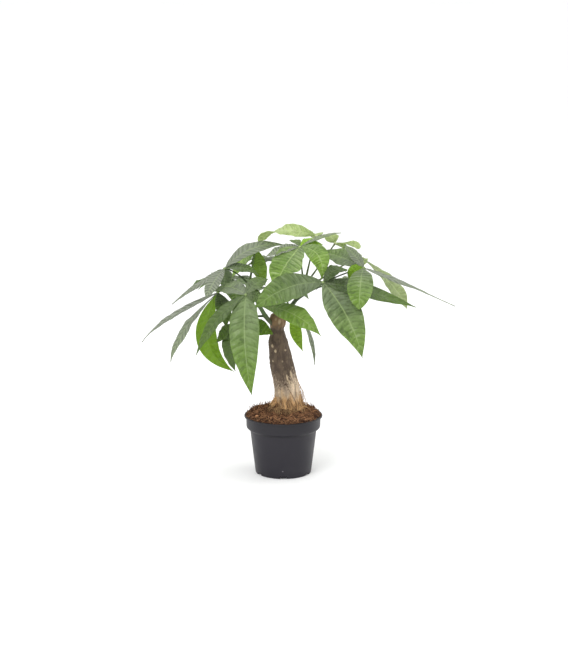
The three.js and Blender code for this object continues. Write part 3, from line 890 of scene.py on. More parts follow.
class Pot:
    """Black nursery pot: a lip, a deep rim band, a tapered body and a notched foot ring. The turn
    step and the notch edge are radians."""

    TURN_STEP = math.radians(2.5)
    NOTCH_EDGE = 2e-3
    NOTCH_ROOM = 0.02
    ARC_POINTS = 13
    SIDE_POINTS = 6
    DISC_POINTS = 72

    def __init__(self, sizes: PotSizes = PotSizes()) -> None:
        """Keeps the sizes."""
        self.sizes = sizes

    def profile(self) -> np.ndarray:
        """Moulded section from under the foot ring up the outside, over the lip and down inside,
        as short steps in radius and height from each of its corners.

        Returns:
            Radius and height of each point, in millimetres.
        """
        s = self.sizes
        lip, inner = s.height - s.lip_thickness, s.band_radius - s.wall
        share = np.linspace(0, 1, 12)[1:-1, None]
        foot, top = (s.foot_radius, s.foot_rise), (s.body_top_radius, s.body_top)
        corners = (
            (s.foot_radius - s.ring_width, s.floor_lift, [(0, 0)]),
            (s.foot_radius, 0, [(-4.2, 0.6), (-3.8, 0), (-1.4, 0), (-0.7, 0.3), (-0.3, 0.9)]),
            (*foot, [(0, 0)]),
            (0, 0, np.array(foot) * (1 - share) + np.array(top) * share),
            (*top, [(0, 0), (0.3, 1.1), (1.2, 2.2)]),
            (s.band_radius, s.band_bottom, [(-3.2, -1.6), (-1.8, -0.8), (-0.9, 0.2), (-0.4, 1.6)]),
            (s.band_radius, s.band_bottom, [(-0.25, 6)]),
            (s.band_radius, lip, [(0, -0.5), (0.4, 0)]),
            (s.lip_radius, lip, [(-0.5, 0.1), (-0.1, 0.5), (0, 1.1)]),
            (s.lip_radius, s.height, [(0, -0.9), (-0.25, -0.25), (-0.9, 0)]),
            (inner, s.height, [(0.7, 0), (0.1, -0.3), (0, -1)]),
            (inner, s.seen_depth, [(-0.2, 0)]),
        )
        return np.vstack([np.array([radius, z]) + steps for radius, z, steps in corners])

    def angles(self) -> np.ndarray:
        """Angles round the pot, with a close pair at each side of every notch.

        Returns:
            Angles in radians, rising.
        """
        s = self.sizes
        middle = -math.pi / 2 + circle(s.notches)
        half = math.asin(s.notch_width / 2 / s.foot_radius)
        apart = half + self.NOTCH_EDGE
        steps = (middle[:, None] + np.array([-apart, -half, half, apart])).ravel()
        even = np.arange(0, 2 * math.pi, self.TURN_STEP)
        both = np.concatenate([even, steps % (2 * math.pi)])
        return np.unique(np.round(both, 5))

    def shell(self) -> Surface:
        """Turned wall whose lowest points rise to the notch height between each notch's sides. It
        is open below, so its faces are turned by how its body looks away from the axis.

        Returns:
            The wall.
        """
        s = self.sizes
        profile, angle = self.profile(), self.angles()
        pitch = 2 * math.pi / s.notches
        sector = (angle + math.pi / 2 + pitch / 2) % pitch - pitch / 2
        reach = s.notch_width / 2 + self.NOTCH_ROOM
        inside = np.abs(np.sin(sector)) * s.foot_radius < reach
        level = profile[:, None, 1]
        height = np.where(inside & (level < s.notch_height), s.notch_height, level)
        rings = around(profile[:, None, 0], angle, height) * MM
        uv = np.stack(np.broadcast_arrays(angle, height * MM), axis=-1)
        wall = rings_surface(rings, uv, caps=False)
        corner = wall.points[wall.quads[:, 0]]
        body = (corner[:, 2] > s.foot_rise * MM) & (corner[:, 2] < s.body_top * MM)
        outwards = (wall.facing()[body] * (corner * LEVEL)[body]).sum()
        return wall.turned(outwards < 0)

    def base(self) -> Surface:
        """Underside: the flat disc and its cone, and round each drain hole a sheet ruled from the
        hole to the edge of its own sector of the ring, with a short wall up into the hole.

        Returns:
            The underside.
        """
        s = self.sizes
        inner, outer = s.disc_radius + s.cone_width, s.foot_radius - s.ring_width
        half = math.pi / s.drains
        swing = half * (2 * np.linspace(0, 1, self.ARC_POINTS) - 1)
        side = np.linspace(outer, inner, self.SIDE_POINTS + 2)[1:-1]
        radius = np.concatenate([
            np.full_like(swing, outer), side, np.full_like(swing, inner), side[::-1],
        ])
        turn = np.concatenate([swing, np.full_like(side, half), -swing, np.full_like(side, -half)])
        edge = around(radius, turn, 0.0)[:, :2]
        centre = np.array([s.drain_circle, 0])
        hole = centre + s.drain_radius * unit(edge - centre)
        flat = [edge, (edge + hole) / 2, hole, hole]
        heights = (s.floor_lift, s.floor_lift, s.floor_lift, s.floor_lift + s.wall)
        rows = [np.column_stack([ring, np.full(len(ring), z)]) for ring, z in zip(flat, heights)]
        rows = np.stack(rows) * MM
        parts = [
            rings_surface(rows @ spin(2 * half * (i + 0.5)), rows[..., :2], caps=False)
            for i in range(s.drains)
        ]
        radius = np.array([inner, s.disc_radius, s.disc_radius * 0.5, 0.2])[:, None]
        height = np.array([s.floor_lift, 0, 0, 0])[:, None]
        disc = around(radius, circle(self.DISC_POINTS), height) * MM
        parts.append(rings_surface(disc, caps=False))
        whole = Surface.joined(parts)
        return whole.turned(whole.facing()[:, 2] > 0)

    def button(self) -> Surface:
        """Small round moulding mark low on the front, a shallow dome on the wall.

        Returns:
            The mark.
        """
        s = self.sizes
        angle = circle(14)
        rise = np.array([-0.4, 0.18, 0.3, 0.34])[:, None]
        reach = np.array([0.9, 0.8, 0.5, 0.05])[:, None]
        share = (s.mark_height - s.foot_rise) / (s.body_top - s.foot_rise)
        wall = s.foot_radius + (s.body_top_radius - s.foot_radius) * share
        up = reach * np.sin(angle)
        x = s.mark_aside + reach * np.cos(angle)
        rings = np.stack([x, -(wall + rise) + 0.1 * up, s.mark_height + up], axis=-1) * MM
        return rings_surface(rings, paint=(1, 1, 1))

    def dress(self) -> bpy.types.Object:
        """Makes the pot piece.

        Returns:
            The piece.
        """
        whole = Surface.joined([self.shell(), self.base(), self.button()])
        piece = whole.piece("nursery_pot", PlasticFinish().build(), sharp=32)
        return settle(piece, "pot", "pot")


# Soil

@dataclass(frozen=True)
class SoilSizes:
    """Soil sizes in millimetres. A lump wave has a height and a width, the skirt goes down inside
    the pot by radius and height, and a range is the least and the most. Loose fibres lift higher on
    the back half of the heap."""

    spill_radius: float = 58.4
    edge_height: float = 93.0
    low_edge: float = 90.6
    crown: float = 4.6
    back_rise: float = 1.4
    lumps: tuple[tuple[float, float], ...] = ((1.1, 17), (0.6, 6), (0.5, 2.8))
    skirt: tuple[tuple[float, float], ...] = ((55.2, 90.4), (54.8, 84), (20, 83), (1, 83))
    fibres: int = 1600
    fibre_length: tuple[float, float] = (3, 16)
    fibre_width: tuple[float, float] = (0.18, 0.52)
    front_lift: float = 3.0
    back_lift: float = 8.5
    crumbs: int = 240
    crumb_size: tuple[float, float] = (0.6, 1.9)
    chip_start: Vector3 = (-43, -31, 96.2)
    chip_run: Vector3 = (5.5, 1.6, 0)
    chip_bow: float = 0.8
    seed: int = 11


class Soil:
    """Coarse coir and peat heaped over the brim, with loose fibres and crumbs on it."""

    RINGS = 66
    SPOKES = 220
    CHIP_RADII = (0.3, 1.0, 1.4, 1.5, 1.3, 0.9, 0.3)

    def __init__(self, sizes: SoilSizes = SoilSizes()) -> None:
        """Keeps the sizes."""
        self.sizes = sizes

    def height(self, x: np.ndarray, y: np.ndarray) -> np.ndarray:
        """Height of the soil: a low dome with lumps, falling to the lip at its edge.

        Args:
            x: Places in millimetres.
            y: Places in millimetres.

        Returns:
            Heights in millimetres.
        """
        s = self.sizes
        share = np.hypot(x, y) / s.spill_radius
        flat = np.stack([x, y], axis=-1)
        lumps = sum(high * waves(flat, wide, s.seed + i) for i, (high, wide) in enumerate(s.lumps))
        dome = s.edge_height + s.crown * (1 - share ** 2) + s.back_rise * ease(-10, 45, y)
        inside = ease(1.0, 0.9, share)
        return s.low_edge + (dome + lumps - s.low_edge) * inside

    def heap(self) -> Surface:
        """Domed top in rings round the middle, closed by a skirt that dips inside the pot.

        Returns:
            The heap.
        """
        s = self.sizes
        share = np.concatenate([np.linspace(0.015, 0.985, self.RINGS), [1.0]])
        angle = circle(self.SPOKES)
        ragged = 1 + 0.006 * waves(around(60, angle, 0)[:, :2], 14, s.seed + 5)
        radius = share[:, None] * s.spill_radius * ragged
        top = around(radius, angle, 0.0)
        top[..., 2] = self.height(top[..., 0], top[..., 1])
        skirt = np.array(s.skirt)
        low = around(skirt[:, :1], angle, skirt[:, 1:])
        return rings_surface(np.concatenate([top, low]) * MM)

    def fibre_set(self) -> Surface:
        """Loose fibres: short arcs that lie on the heap in random directions and lift at one end.
        They have painted shade near the rim.

        Returns:
            All fibres as one surface.
        """
        s = self.sizes
        rng = np.random.default_rng(s.seed + 7)
        t = np.linspace(-0.5, 0.5, 6)
        taper = (0.5, 0.9, 1, 1, 0.8, 0.3)
        bits = []
        for _ in range(s.fibres):
            away = s.spill_radius * math.sqrt(rng.uniform(0.05, 0.97))
            turn, heading = rng.uniform(0, 2 * math.pi), rng.uniform(0, 2 * math.pi)
            length = rng.uniform(*s.fibre_length)
            bow = rng.uniform(-0.5, 0.5) * (t * t - 0.1)
            c, k = math.cos(heading), math.sin(heading)
            x = away * math.cos(turn) + length * (t * c - bow * k)
            y = away * math.sin(turn) + length * (t * k + bow * c)
            far = np.hypot(x, y) / s.spill_radius
            pull = np.minimum(1, 1.0 / np.maximum(far, 1e-6))
            x, y = x * pull, y * pull
            lift = rng.uniform(0.0, 1.0) ** 2.2 * (s.back_lift if y.mean() > 5 else s.front_lift)
            z = self.height(x, y) + 0.25 + lift * (2 * np.abs(t)) ** 1.5 * (t > 0)
            z = z + rng.uniform(0, 0.5)
            width = rng.uniform(*s.fibre_width)
            # Random tint, with painted shade that halves it near the rim.
            tint = rng.uniform(0, 1) ** 1.3 * (1 - 0.5 * float(ease(0.82, 0.97, far.mean())))
            bits.append(thread(np.stack([x, y, z], axis=-1), width, taper, tint))
        return Surface.joined(bits)

    def crumb_set(self) -> Surface:
        """Crumbs of peat: squashed seven-sided beads with a random turn.

        Returns:
            All crumbs as one surface.
        """
        s = self.sizes
        rng = np.random.default_rng(s.seed + 9)
        level = np.array([-1, -0.6, 0.15, 0.75, 1])
        girth = np.array([0.1, 0.8, 1, 0.62, 0.1])
        ball = around(girth[:, None], circle(7), level[:, None])
        bits = []
        for i in range(s.crumbs):
            away = s.spill_radius * math.sqrt(rng.uniform(0.02, 0.93))
            turn = rng.uniform(0, 2 * math.pi)
            x, y = away * math.cos(turn), away * math.sin(turn)
            size = rng.uniform(*s.crumb_size)
            stretch = [rng.uniform(0.8, 1.7), rng.uniform(0.7, 1.1), rng.uniform(0.4, 0.8)]
            rough = 1 + 0.16 * waves(ball * 9, 8, s.seed + 20 + i, 6)[..., None]
            body = (ball * rough * (size * np.array(stretch))) @ spin(turn * 5)
            z = float(self.height(np.array(x), np.array(y))) + 0.3 * size
            rings = (body + np.array([x, y, z])) * MM
            bits.append(rings_surface(rings, paint=(rng.uniform(0, 0.5), 0, 0)))
        return Surface.joined(bits)

    def chip(self) -> Surface:
        """The one wood chip at the front left: a thin rounded splinter.

        Returns:
            The chip.
        """
        s = self.sizes
        t = np.linspace(0, 1, len(self.CHIP_RADII))[:, None]
        path = np.array(s.chip_start) + np.array(s.chip_run) * t
        path = path + UP * s.chip_bow * np.sin(math.pi * t)
        return tube(path * MM, np.array(self.CHIP_RADII) * MM, 6, (1.0, 0, 0))

    def dress(self) -> list[bpy.types.Object]:
        """Makes the heap and the loose bits on it.

        Returns:
            The pieces.
        """
        heap = self.heap().piece("soil_heap", SoilFinish().build(), 60)
        coir = FibreFinish("coir_fibre", srgb(49, 28, 16), srgb(188, 138, 98)).build()
        fibres = Surface.joined([self.fibre_set(), self.chip()]).piece("soil_fibres", coir, 80)
        crumbs = self.crumb_set().piece("soil_crumbs", coir, 80)
        return [settle(heap, "soil", "soil"), settle(fibres, "soil"), settle(crumbs, "soil")]


# Trunk

@dataclass(frozen=True)
class Station:
    """Trunk section: height, middle and radius in millimetres."""

    z: float
    x: float
    y: float
    radius: float


@dataclass(frozen=True)
class Scar:
    """Pale mark on the bark: angle in degrees, height and size in millimetres, and how pale."""

    angle: float
    z: float
    wide: float
    tall: float
    rise: float = 0.5
    strength: float = 1.0


STATIONS = (
    Station(86, 9, 6, 19.9), Station(95, 8.9, 6, 20.4), Station(112, 7.9, 6, 20.2),
    Station(131, 5.9, 6, 19.4), Station(149, 2.2, 6, 18.8), Station(168, -1.6, 6, 18.2),
    Station(187, -4.6, 5, 16.8), Station(206, -7.6, 4, 14.4), Station(218, -8.5, 3.5, 11.4),
    Station(225, -9, 3, 10.3), Station(230, -9, 3, 11.4), Station(237, -9, 3, 12.4),
    Station(243, -9, 3, 12), Station(248, -9, 3, 9.6), Station(250.5, -9, 3, 5.5),
)

SCARS = (
    Scar(230, 201, 2.6, 3.0, 0.4, 0.75), Scar(246, 193.5, 2.2, 2.6, 0.5, 0.9),
    Scar(303, 195, 2.2, 1.6, 0.4, 0.6), Scar(222, 177, 1.7, 1.8, 0.3, 0.7),
    Scar(276, 178, 1.4, 1.6, 0.2, 0.35), Scar(20, 180, 2.4, 2.4, 0.4, 0.7),
    Scar(95, 195, 2.8, 2.6, 0.4, 0.8), Scar(140, 170, 2.6, 2.4, 0.4, 0.6),
    Scar(60, 160, 2.4, 2.4, 0.3, 0.5), Scar(284, 239, 3.4, 4.4, 0.2, 0.5),
    Scar(258, 243, 2.4, 2.4, 0.2, 0.3), Scar(284, 152, 1.5, 5.5, 0.0, 0.9),
    Scar(307, 157, 1.7, 6.0, 0.0, 0.9), Scar(290, 145, 1.3, 4.2, 0.0, 0.8),
)


class Trunk:
    """Leaning cut trunk, out of round, with barked relief, scars and root fibres at its foot. The
    lobes go from the first share of the radius to the second over the heights of their change.
    Sizes are millimetres."""

    BURIED_ROWS = 2
    SAMPLES = 600
    LOBES = (0.035, 0.018)
    LOBE_CHANGE = (108, 132)
    SCAR_RADIUS = 18
    FOOT_MIDDLE = np.array([9, 6, 0])
    FOOT_RADIUS = 19.5
    SOIL_LEVEL = 96.5
    ROOT_POINTS = 7
    TAPER = (1, 1, 0.95, 0.9, 0.8, 0.6, 0.3)
    CURLS = 5

    def __init__(
        self, stations: Sequence[Station] = STATIONS, scars: Sequence[Scar] = SCARS,
    ) -> None:
        """Keeps the scars and works out the middle line and the radius over the height.

        Args:
            stations: Sections from the soil up.
            scars: Marks on the bark.
        """
        self.scars = scars
        self.level, self.x, self.y = np.array([(s.z, s.x, s.y) for s in stations]).T
        smooth = Spline([(s.x, s.radius, s.z) for s in stations], self.SAMPLES).sampled()[0]
        self.smooth = smooth[np.argsort(smooth[:, 2])].T

    def section(self, z: np.ndarray, angle: np.ndarray) -> np.ndarray:
        """Bark points: a circle about the leaning middle line, its radius raised by two slow waves
        round the trunk that turn with the row, counted from the solid's two buried ones.

        Args:
            z: Heights in millimetres.
            angle: Angles in radians, of the same shape.

        Returns:
            Points in millimetres.
        """
        x, radius = (np.interp(z, self.smooth[2], line) for line in self.smooth[:2])
        turn = np.interp(z, self.level, np.arange(len(self.level))) + self.BURIED_ROWS
        wave = np.sin(3 * angle + 0.5 * turn) + 0.6 * np.sin(5 * angle - 0.35 * turn)
        low, high = self.LOBES
        lobes = low + (high - low) * ease(*self.LOBE_CHANGE, z)
        middle = np.stack([x, np.interp(z, self.level, self.y), np.zeros_like(x)], axis=-1)
        return middle + around(radius * (1 + lobes * wave), angle, z)

    def scar_mask(self, z: np.ndarray, angle: np.ndarray) -> tuple[np.ndarray, np.ndarray]:
        """Strength of the scars: a rounded spot for each, by its distance in its own width and
        height.

        Args:
            z: Heights in millimetres.
            angle: Angles in radians.

        Returns:
            Colour mask and rise in millimetres.
        """
        mask, rise = np.zeros_like(z), np.zeros_like(z)
        for scar in self.scars:
            aside = (angle - math.radians(scar.angle) + math.pi) % (2 * math.pi) - math.pi
            apart = np.hypot(aside * self.SCAR_RADIUS / scar.wide, (z - scar.z) / scar.tall)
            spot = ease(1.25, 0.55, apart)
            mask = np.maximum(mask, spot * scar.strength)
            rise = np.maximum(rise, spot * scar.rise)
        return mask, rise

    def skin(self) -> Surface:
        """Bark over angle and height, with furrows, wrinkles and scars, closed by the cut top.

        Returns:
            The bark.
        """
        start, shoulder, end = self.level[[0, -3, -1]]
        rows = [np.linspace(start, shoulder, 170), np.linspace(shoulder + 0.6, end, 14)]
        z, angle = np.broadcast_arrays(np.concatenate(rows)[:, None], circle(150)[None, :])
        points = self.section(z, angle)
        middle = points.mean(axis=1, keepdims=True)
        out = unit((points - middle) * LEVEL)
        ripple = points * np.array([1, 1, 0.22])
        ripple = 0.42 * waves(ripple, 6.5, 31) + 0.22 * waves(ripple, 2.6, 32)
        wrinkle = 0.16 * waves(points * np.array([0.5, 0.5, 1.6]), 6, 33)
        foot = ease(116, 92, z) * (0.8 * waves(points * np.array([1, 1, 0.3]), 7, 34))
        mask, rise = self.scar_mask(z, angle)
        relief = (ripple + wrinkle + foot) * ease(end - 0.1, end - 4.5, z) + rise
        points = points + out * relief[..., None]
        top = ease(226, 234, z + 2.5 * waves(points, 9, 35))
        side = ease(-30, 30, points[..., 0] - middle[..., 0])
        ragged = z + 7 * waves(points * np.array([1, 1, 0.4]), 13, 36) + 3 - 11 * side
        paint = np.stack([top * 0.8, mask, ease(128, 104, ragged)], axis=-1)
        lid = np.linspace(0.75, 0.02, 7)[:, None, None]
        crown = middle[-1] + (points[-1] - middle[-1]) * lid + UP * (1 - lid) * 1.2
        crown = crown + 0.3 * UP * waves(crown, 3.5, 37)[..., None]
        cut = np.broadcast_to(np.array([1.0, 0, 0]), crown.shape)
        rings = np.concatenate([points, crown]) * MM
        return rings_surface(rings, paint=np.concatenate([paint, cut]))

    def root_fibres(self, count: int = 420, seed: int = 51) -> Surface:
        """Fibres at the foot: threads that follow the bark up from the soil and stray sideways,
        with their free ends standing off.

        Args:
            count: How many threads.
            seed: Seed of the draw.

        Returns:
            All threads as one surface.
        """
        rng = np.random.default_rng(seed)
        t = np.linspace(0, 1, self.ROOT_POINTS)
        bits = []
        for _ in range(count):
            turn = rng.uniform(0, 2 * math.pi)
            bottom = rng.uniform(94, 104)
            length = rng.uniform(8, 32) * rng.uniform(0.6, 1)
            drift = rng.normal(0, 0.22) + 0.1 * np.sin(4 * t + rng.uniform(0, 6))
            z = bottom + length * t
            free = rng.uniform(0, 1) ** 4 * 5.5
            points = self.section(z, turn + drift * t)
            aside = np.full_like(z, self.FOOT_MIDDLE[1])
            middle = np.stack([np.interp(z, self.level, self.x), aside, z], axis=-1)
            out = unit((points - middle) * LEVEL)
            points = points + out * (0.35 + free * t ** 2)[:, None]
            width, taper = rng.uniform(0.18, 0.55), (1, 1, 0.95, 0.85, 0.7, 0.5, 0.25)
            bits.append(thread(points, width, taper, rng.uniform(0, 1)))
        return Surface.joined(bits)

    def stray_roots(self, count: int = 130, seed: int = 57) -> Surface:
        """Hair roots that leave the foot and run out over the soil in loose arcs.

        Args:
            count: How many roots.
            seed: Seed of the draw.

        Returns:
            All roots as one surface.
        """
        rng = np.random.default_rng(seed)
        t = np.linspace(0, 1, self.ROOT_POINTS)
        bits = []
        for _ in range(count):
            turn = math.radians(rng.choice([205, 185, 0, 30, 150]) + rng.normal(0, 22))
            away = self.FOOT_RADIUS + rng.uniform(4, 15) * t
            angle = turn + rng.normal(0, 0.25) * t
            arc = np.sin(math.pi * np.minimum(1, t * rng.uniform(0.6, 1.1)))
            z = self.SOIL_LEVEL + rng.uniform(0, 9) * arc + rng.uniform(0, 11) * (1 - t) ** 2
            points = around(away, angle, z) + self.FOOT_MIDDLE
            width, taper = rng.uniform(0.16, 0.4), (1, 1, 0.9, 0.8, 0.7, 0.5, 0.3)
            bits.append(thread(points, width, taper, rng.uniform(0.5, 1)))
        return Surface.joined(bits)

    def draped_roots(self, count: int = 300, seed: int = 61) -> Surface:
        """Roots that leave the bark on its left and front left, higher up on the left, and slant
        down and out to the soil. At the far left every other one is light and hangs closer.

        Args:
            count: How many roots.
            seed: Seed of the draw.

        Returns:
            All roots as one surface.
        """
        rng = np.random.default_rng(seed)
        t = np.linspace(0, 1, self.ROOT_POINTS)
        bits = []
        for i in range(count):
            turn = math.radians(rng.uniform(160, 268))
            light = i % 2 == 0 and turn < math.radians(208)
            top = 102 + 16 * float(ease(4.6, 3.1, np.array(turn))) * rng.uniform(0.3, 1) + 3 * light
            angle = turn + rng.normal(0, 0.25) * t
            fall = self.SOIL_LEVEL + 9 * light - top
            z = top + fall * t + rng.uniform(-1, 3) * np.sin(math.pi * t)
            off = 0.3 + rng.uniform(3, 15 - 5 * light) * t ** 1.4
            points = self.section(z, angle) + around(off, angle, 0.0)
            width, tint = rng.uniform(0.2, 0.5), rng.uniform(0, 1)
            tint = 0.6 + 0.4 * tint if light else 0.75 * tint ** 2
            bits.append(thread(points, width, self.TAPER, tint))
        return Surface.joined(bits)

    def curls(self) -> Surface:
        """Wispy roots that hang curling beside the right edge of the trunk.

        Returns:
            All of them as one surface.
        """
        t = np.linspace(0, 1, 18)
        bits = []
        for i in range(self.CURLS):
            angle = np.full_like(t, math.radians(8 * i - 22))
            off = 0.2 + (2.6 + 0.9 * i) * np.sin(math.pi * t) + 0.9 * t * np.sin(11 * t + 2 * i)
            points = self.section(147 - 5 * i - (22 + 3 * i) * t, angle) + around(off, angle, 0.0)
            bits.append(thread(points, 0.3, np.ones_like(t), 0.35))
        return Surface.joined(bits)

    def dark_root(self) -> Surface:
        """The one thin dark root that crosses the front of the foot slantwise.

        Returns:
            The root.
        """
        t = np.linspace(0, 1, 14)
        points = self.section(143 - 34 * t, np.radians(268 + 42 * t)) + np.array([0, -0.5, 0])
        return tube(points * MM, (0.42 - 0.15 * t) * MM, 5)

    def dress(self) -> list[bpy.types.Object]:
        """Makes the bark and its fibres.

        Returns:
            The pieces.
        """
        bark = self.skin().piece("trunk_bark", BarkFinish().build(), 60)
        straw = FibreFinish("root_straw", srgb(74, 50, 32), srgb(228, 186, 134)).build()
        loose = [self.stray_roots(), self.draped_roots(), self.curls(), self.dark_root()]
        threads = Surface.joined([self.root_fibres(), *loose]).piece("root_fibres", straw, 80)
        return [settle(bark, "bark", "trunk"), settle(threads, "bark")]


# Shoots

SHOOTS = {
    "left": Spline([
        (-12, 0, 230), (-24, -5, 243), (-37, -11, 266), (-45, -14, 284), (-51, -14, 302),
    ]),
    "right": Spline([(-6, 6, 236), (4, 10, 250), (18, 8, 268), (27, 7, 283), (33, 7, 296)]),
}


class Shoot:
    """Green shoot from the cut top, thinning upwards and swollen at each leaf joint. A joint's
    width is a share of its length."""

    ROWS = 90
    SIDES = 20
    SWELLING = 0.12
    JOINT_WIDTH = 0.022

    def __init__(
        self, side: str, joints: Sequence[float], base: float = 3.8, top: float = 2.4,
    ) -> None:
        """Keeps the shoot's sizes.

        Args:
            side: Which shoot.
            joints: Shares of its length where leaves leave it.
            base: Radius at the trunk in millimetres.
            top: Radius at its end.
        """
        self.side = side
        self.joints = np.array(sorted(joints))
        self.base = base
        self.top = top

    def build(self) -> Surface:
        """Bar along the shoot's curve, with a swelling at each joint and a rounded end.

        Returns:
            The shoot.
        """
        share = np.linspace(0, 1, self.ROWS)
        thin = self.base + (self.top - self.base) * share
        swell = np.exp(-((share[:, None] - self.joints) / self.JOINT_WIDTH) ** 2).sum(axis=1)
        round_end = np.sqrt(np.clip((1.004 - share) / 0.03, 0, 1))
        radius = thin * (1 + self.SWELLING * np.minimum(1, swell)) * round_end
        bar = tube(SHOOTS[self.side].at(share) * MM, radius * MM, self.SIDES)
        bar.paint[:, 0] = np.repeat(ease(0.42, 0.02, share), self.SIDES) * 0.85
        return bar

    def dress(self, material: bpy.types.Material) -> bpy.types.Object:
        """Makes the shoot piece in the stem material."""
        piece = self.build().piece(f"shoot_{self.side}_stem", material, 60)
        return settle(piece, "shoot", f"shoot_{self.side}")


# Leaves

@dataclass(frozen=True)
class Leaflet:
    """One leaflet: its tip and width in millimetres, and how its rib bends and its blade turns.

    arch raises the rib, bow bends it to the right and knee is where it bends most. roll lifts the
    right side, twist adds to the roll towards the tip, face is the compass angle of its top when
    it hangs. A low shoulder makes it broad near the hub, and a high point draws its tip out. cast
    runs from -1, a painted grey reflection, to 1, painted light that shines through, and dark is
    its share of the dark stem colour, which stands for painted shade.
    """

    tip: Vector3
    width: float
    arch: float = 0.0
    bow: float = 0.0
    knee: float = 0.5
    roll: float = 0.0
    twist: float = 0.0
    face: float | None = None
    shoulder: float = 1.08
    point: float = 1.22
    cast: float = 0.0
    dark: float = 0.0


@dataclass(frozen=True)
class Leaf:
    """One compound leaf: where its petiole leaves its shoot, its hub and its leaflets."""

    node: str
    shoot: str
    start: float
    hub: Vector3
    lift: float
    tone: Tone
    leaflets: tuple[Leaflet, ...]


@dataclass(frozen=True)
class BladeForm:
    """How a blade is shaped over its length t and across s, from -1 at the left edge to 1. The fold
    is in degrees, rows and columns are the points of its grid, the edge drop and the slow and quick
    ruffle are shares of the half width, and the other sizes are millimetres."""

    fold: float = 14.0
    stalk_half: float = 1.0
    tip_half: float = 0.35
    thickness: float = 0.5
    rib_thickness: float = 1.15
    rib_width: float = 1.3
    pleat: float = 0.88
    pleat_room: float = 10
    edge_drop: float = 0.16
    ruffle: tuple[float, float] = (0.085, 0.03)
    crease: float = 0.35
    rows: int = 66
    columns: int = 17


def fan(
    hub: Vector3, heading: float, spread: float, count: int = 5,
    reach: float = 92, width: float = 34, fall: float = 0.3,
) -> tuple[Leaflet, ...]:
    """Leaflets of a far-side leaf: the middle one is the longest, and the outer ones are shorter.

    Args:
        hub: The leaf's hub.
        heading: Compass angle of the middle leaflet.
        spread: Angle between the outer leaflets.
        count: How many leaflets.
        reach: Length of the middle one.
        width: Its width.
        fall: Drop as a share of the length.

    Returns:
        The leaflets.
    """
    across = 2 * np.arange(count) / (count - 1) - 1
    turn = np.radians(heading + 0.5 * spread * across)
    length = reach * (1 - 0.4 * across ** 2)
    drop = fall * length * (1 + 0.15 * np.sin(5 * np.arange(count) + heading))
    tips = np.array(hub) + around(np.sqrt(length ** 2 - drop ** 2), turn, -drop)
    wide = width * (1 - 0.25 * across ** 2)
    return tuple(Leaflet(tuple(tip), float(w), arch=0.13) for tip, w in zip(tips.tolist(), wide))


BACK_MIDDLE = (-14, 88, 314)
BACK_LEFT = (-80, 92, 284)
BACK_RIGHT = (84, 98, 276)
BACK_LOW = (2, 100, 262)
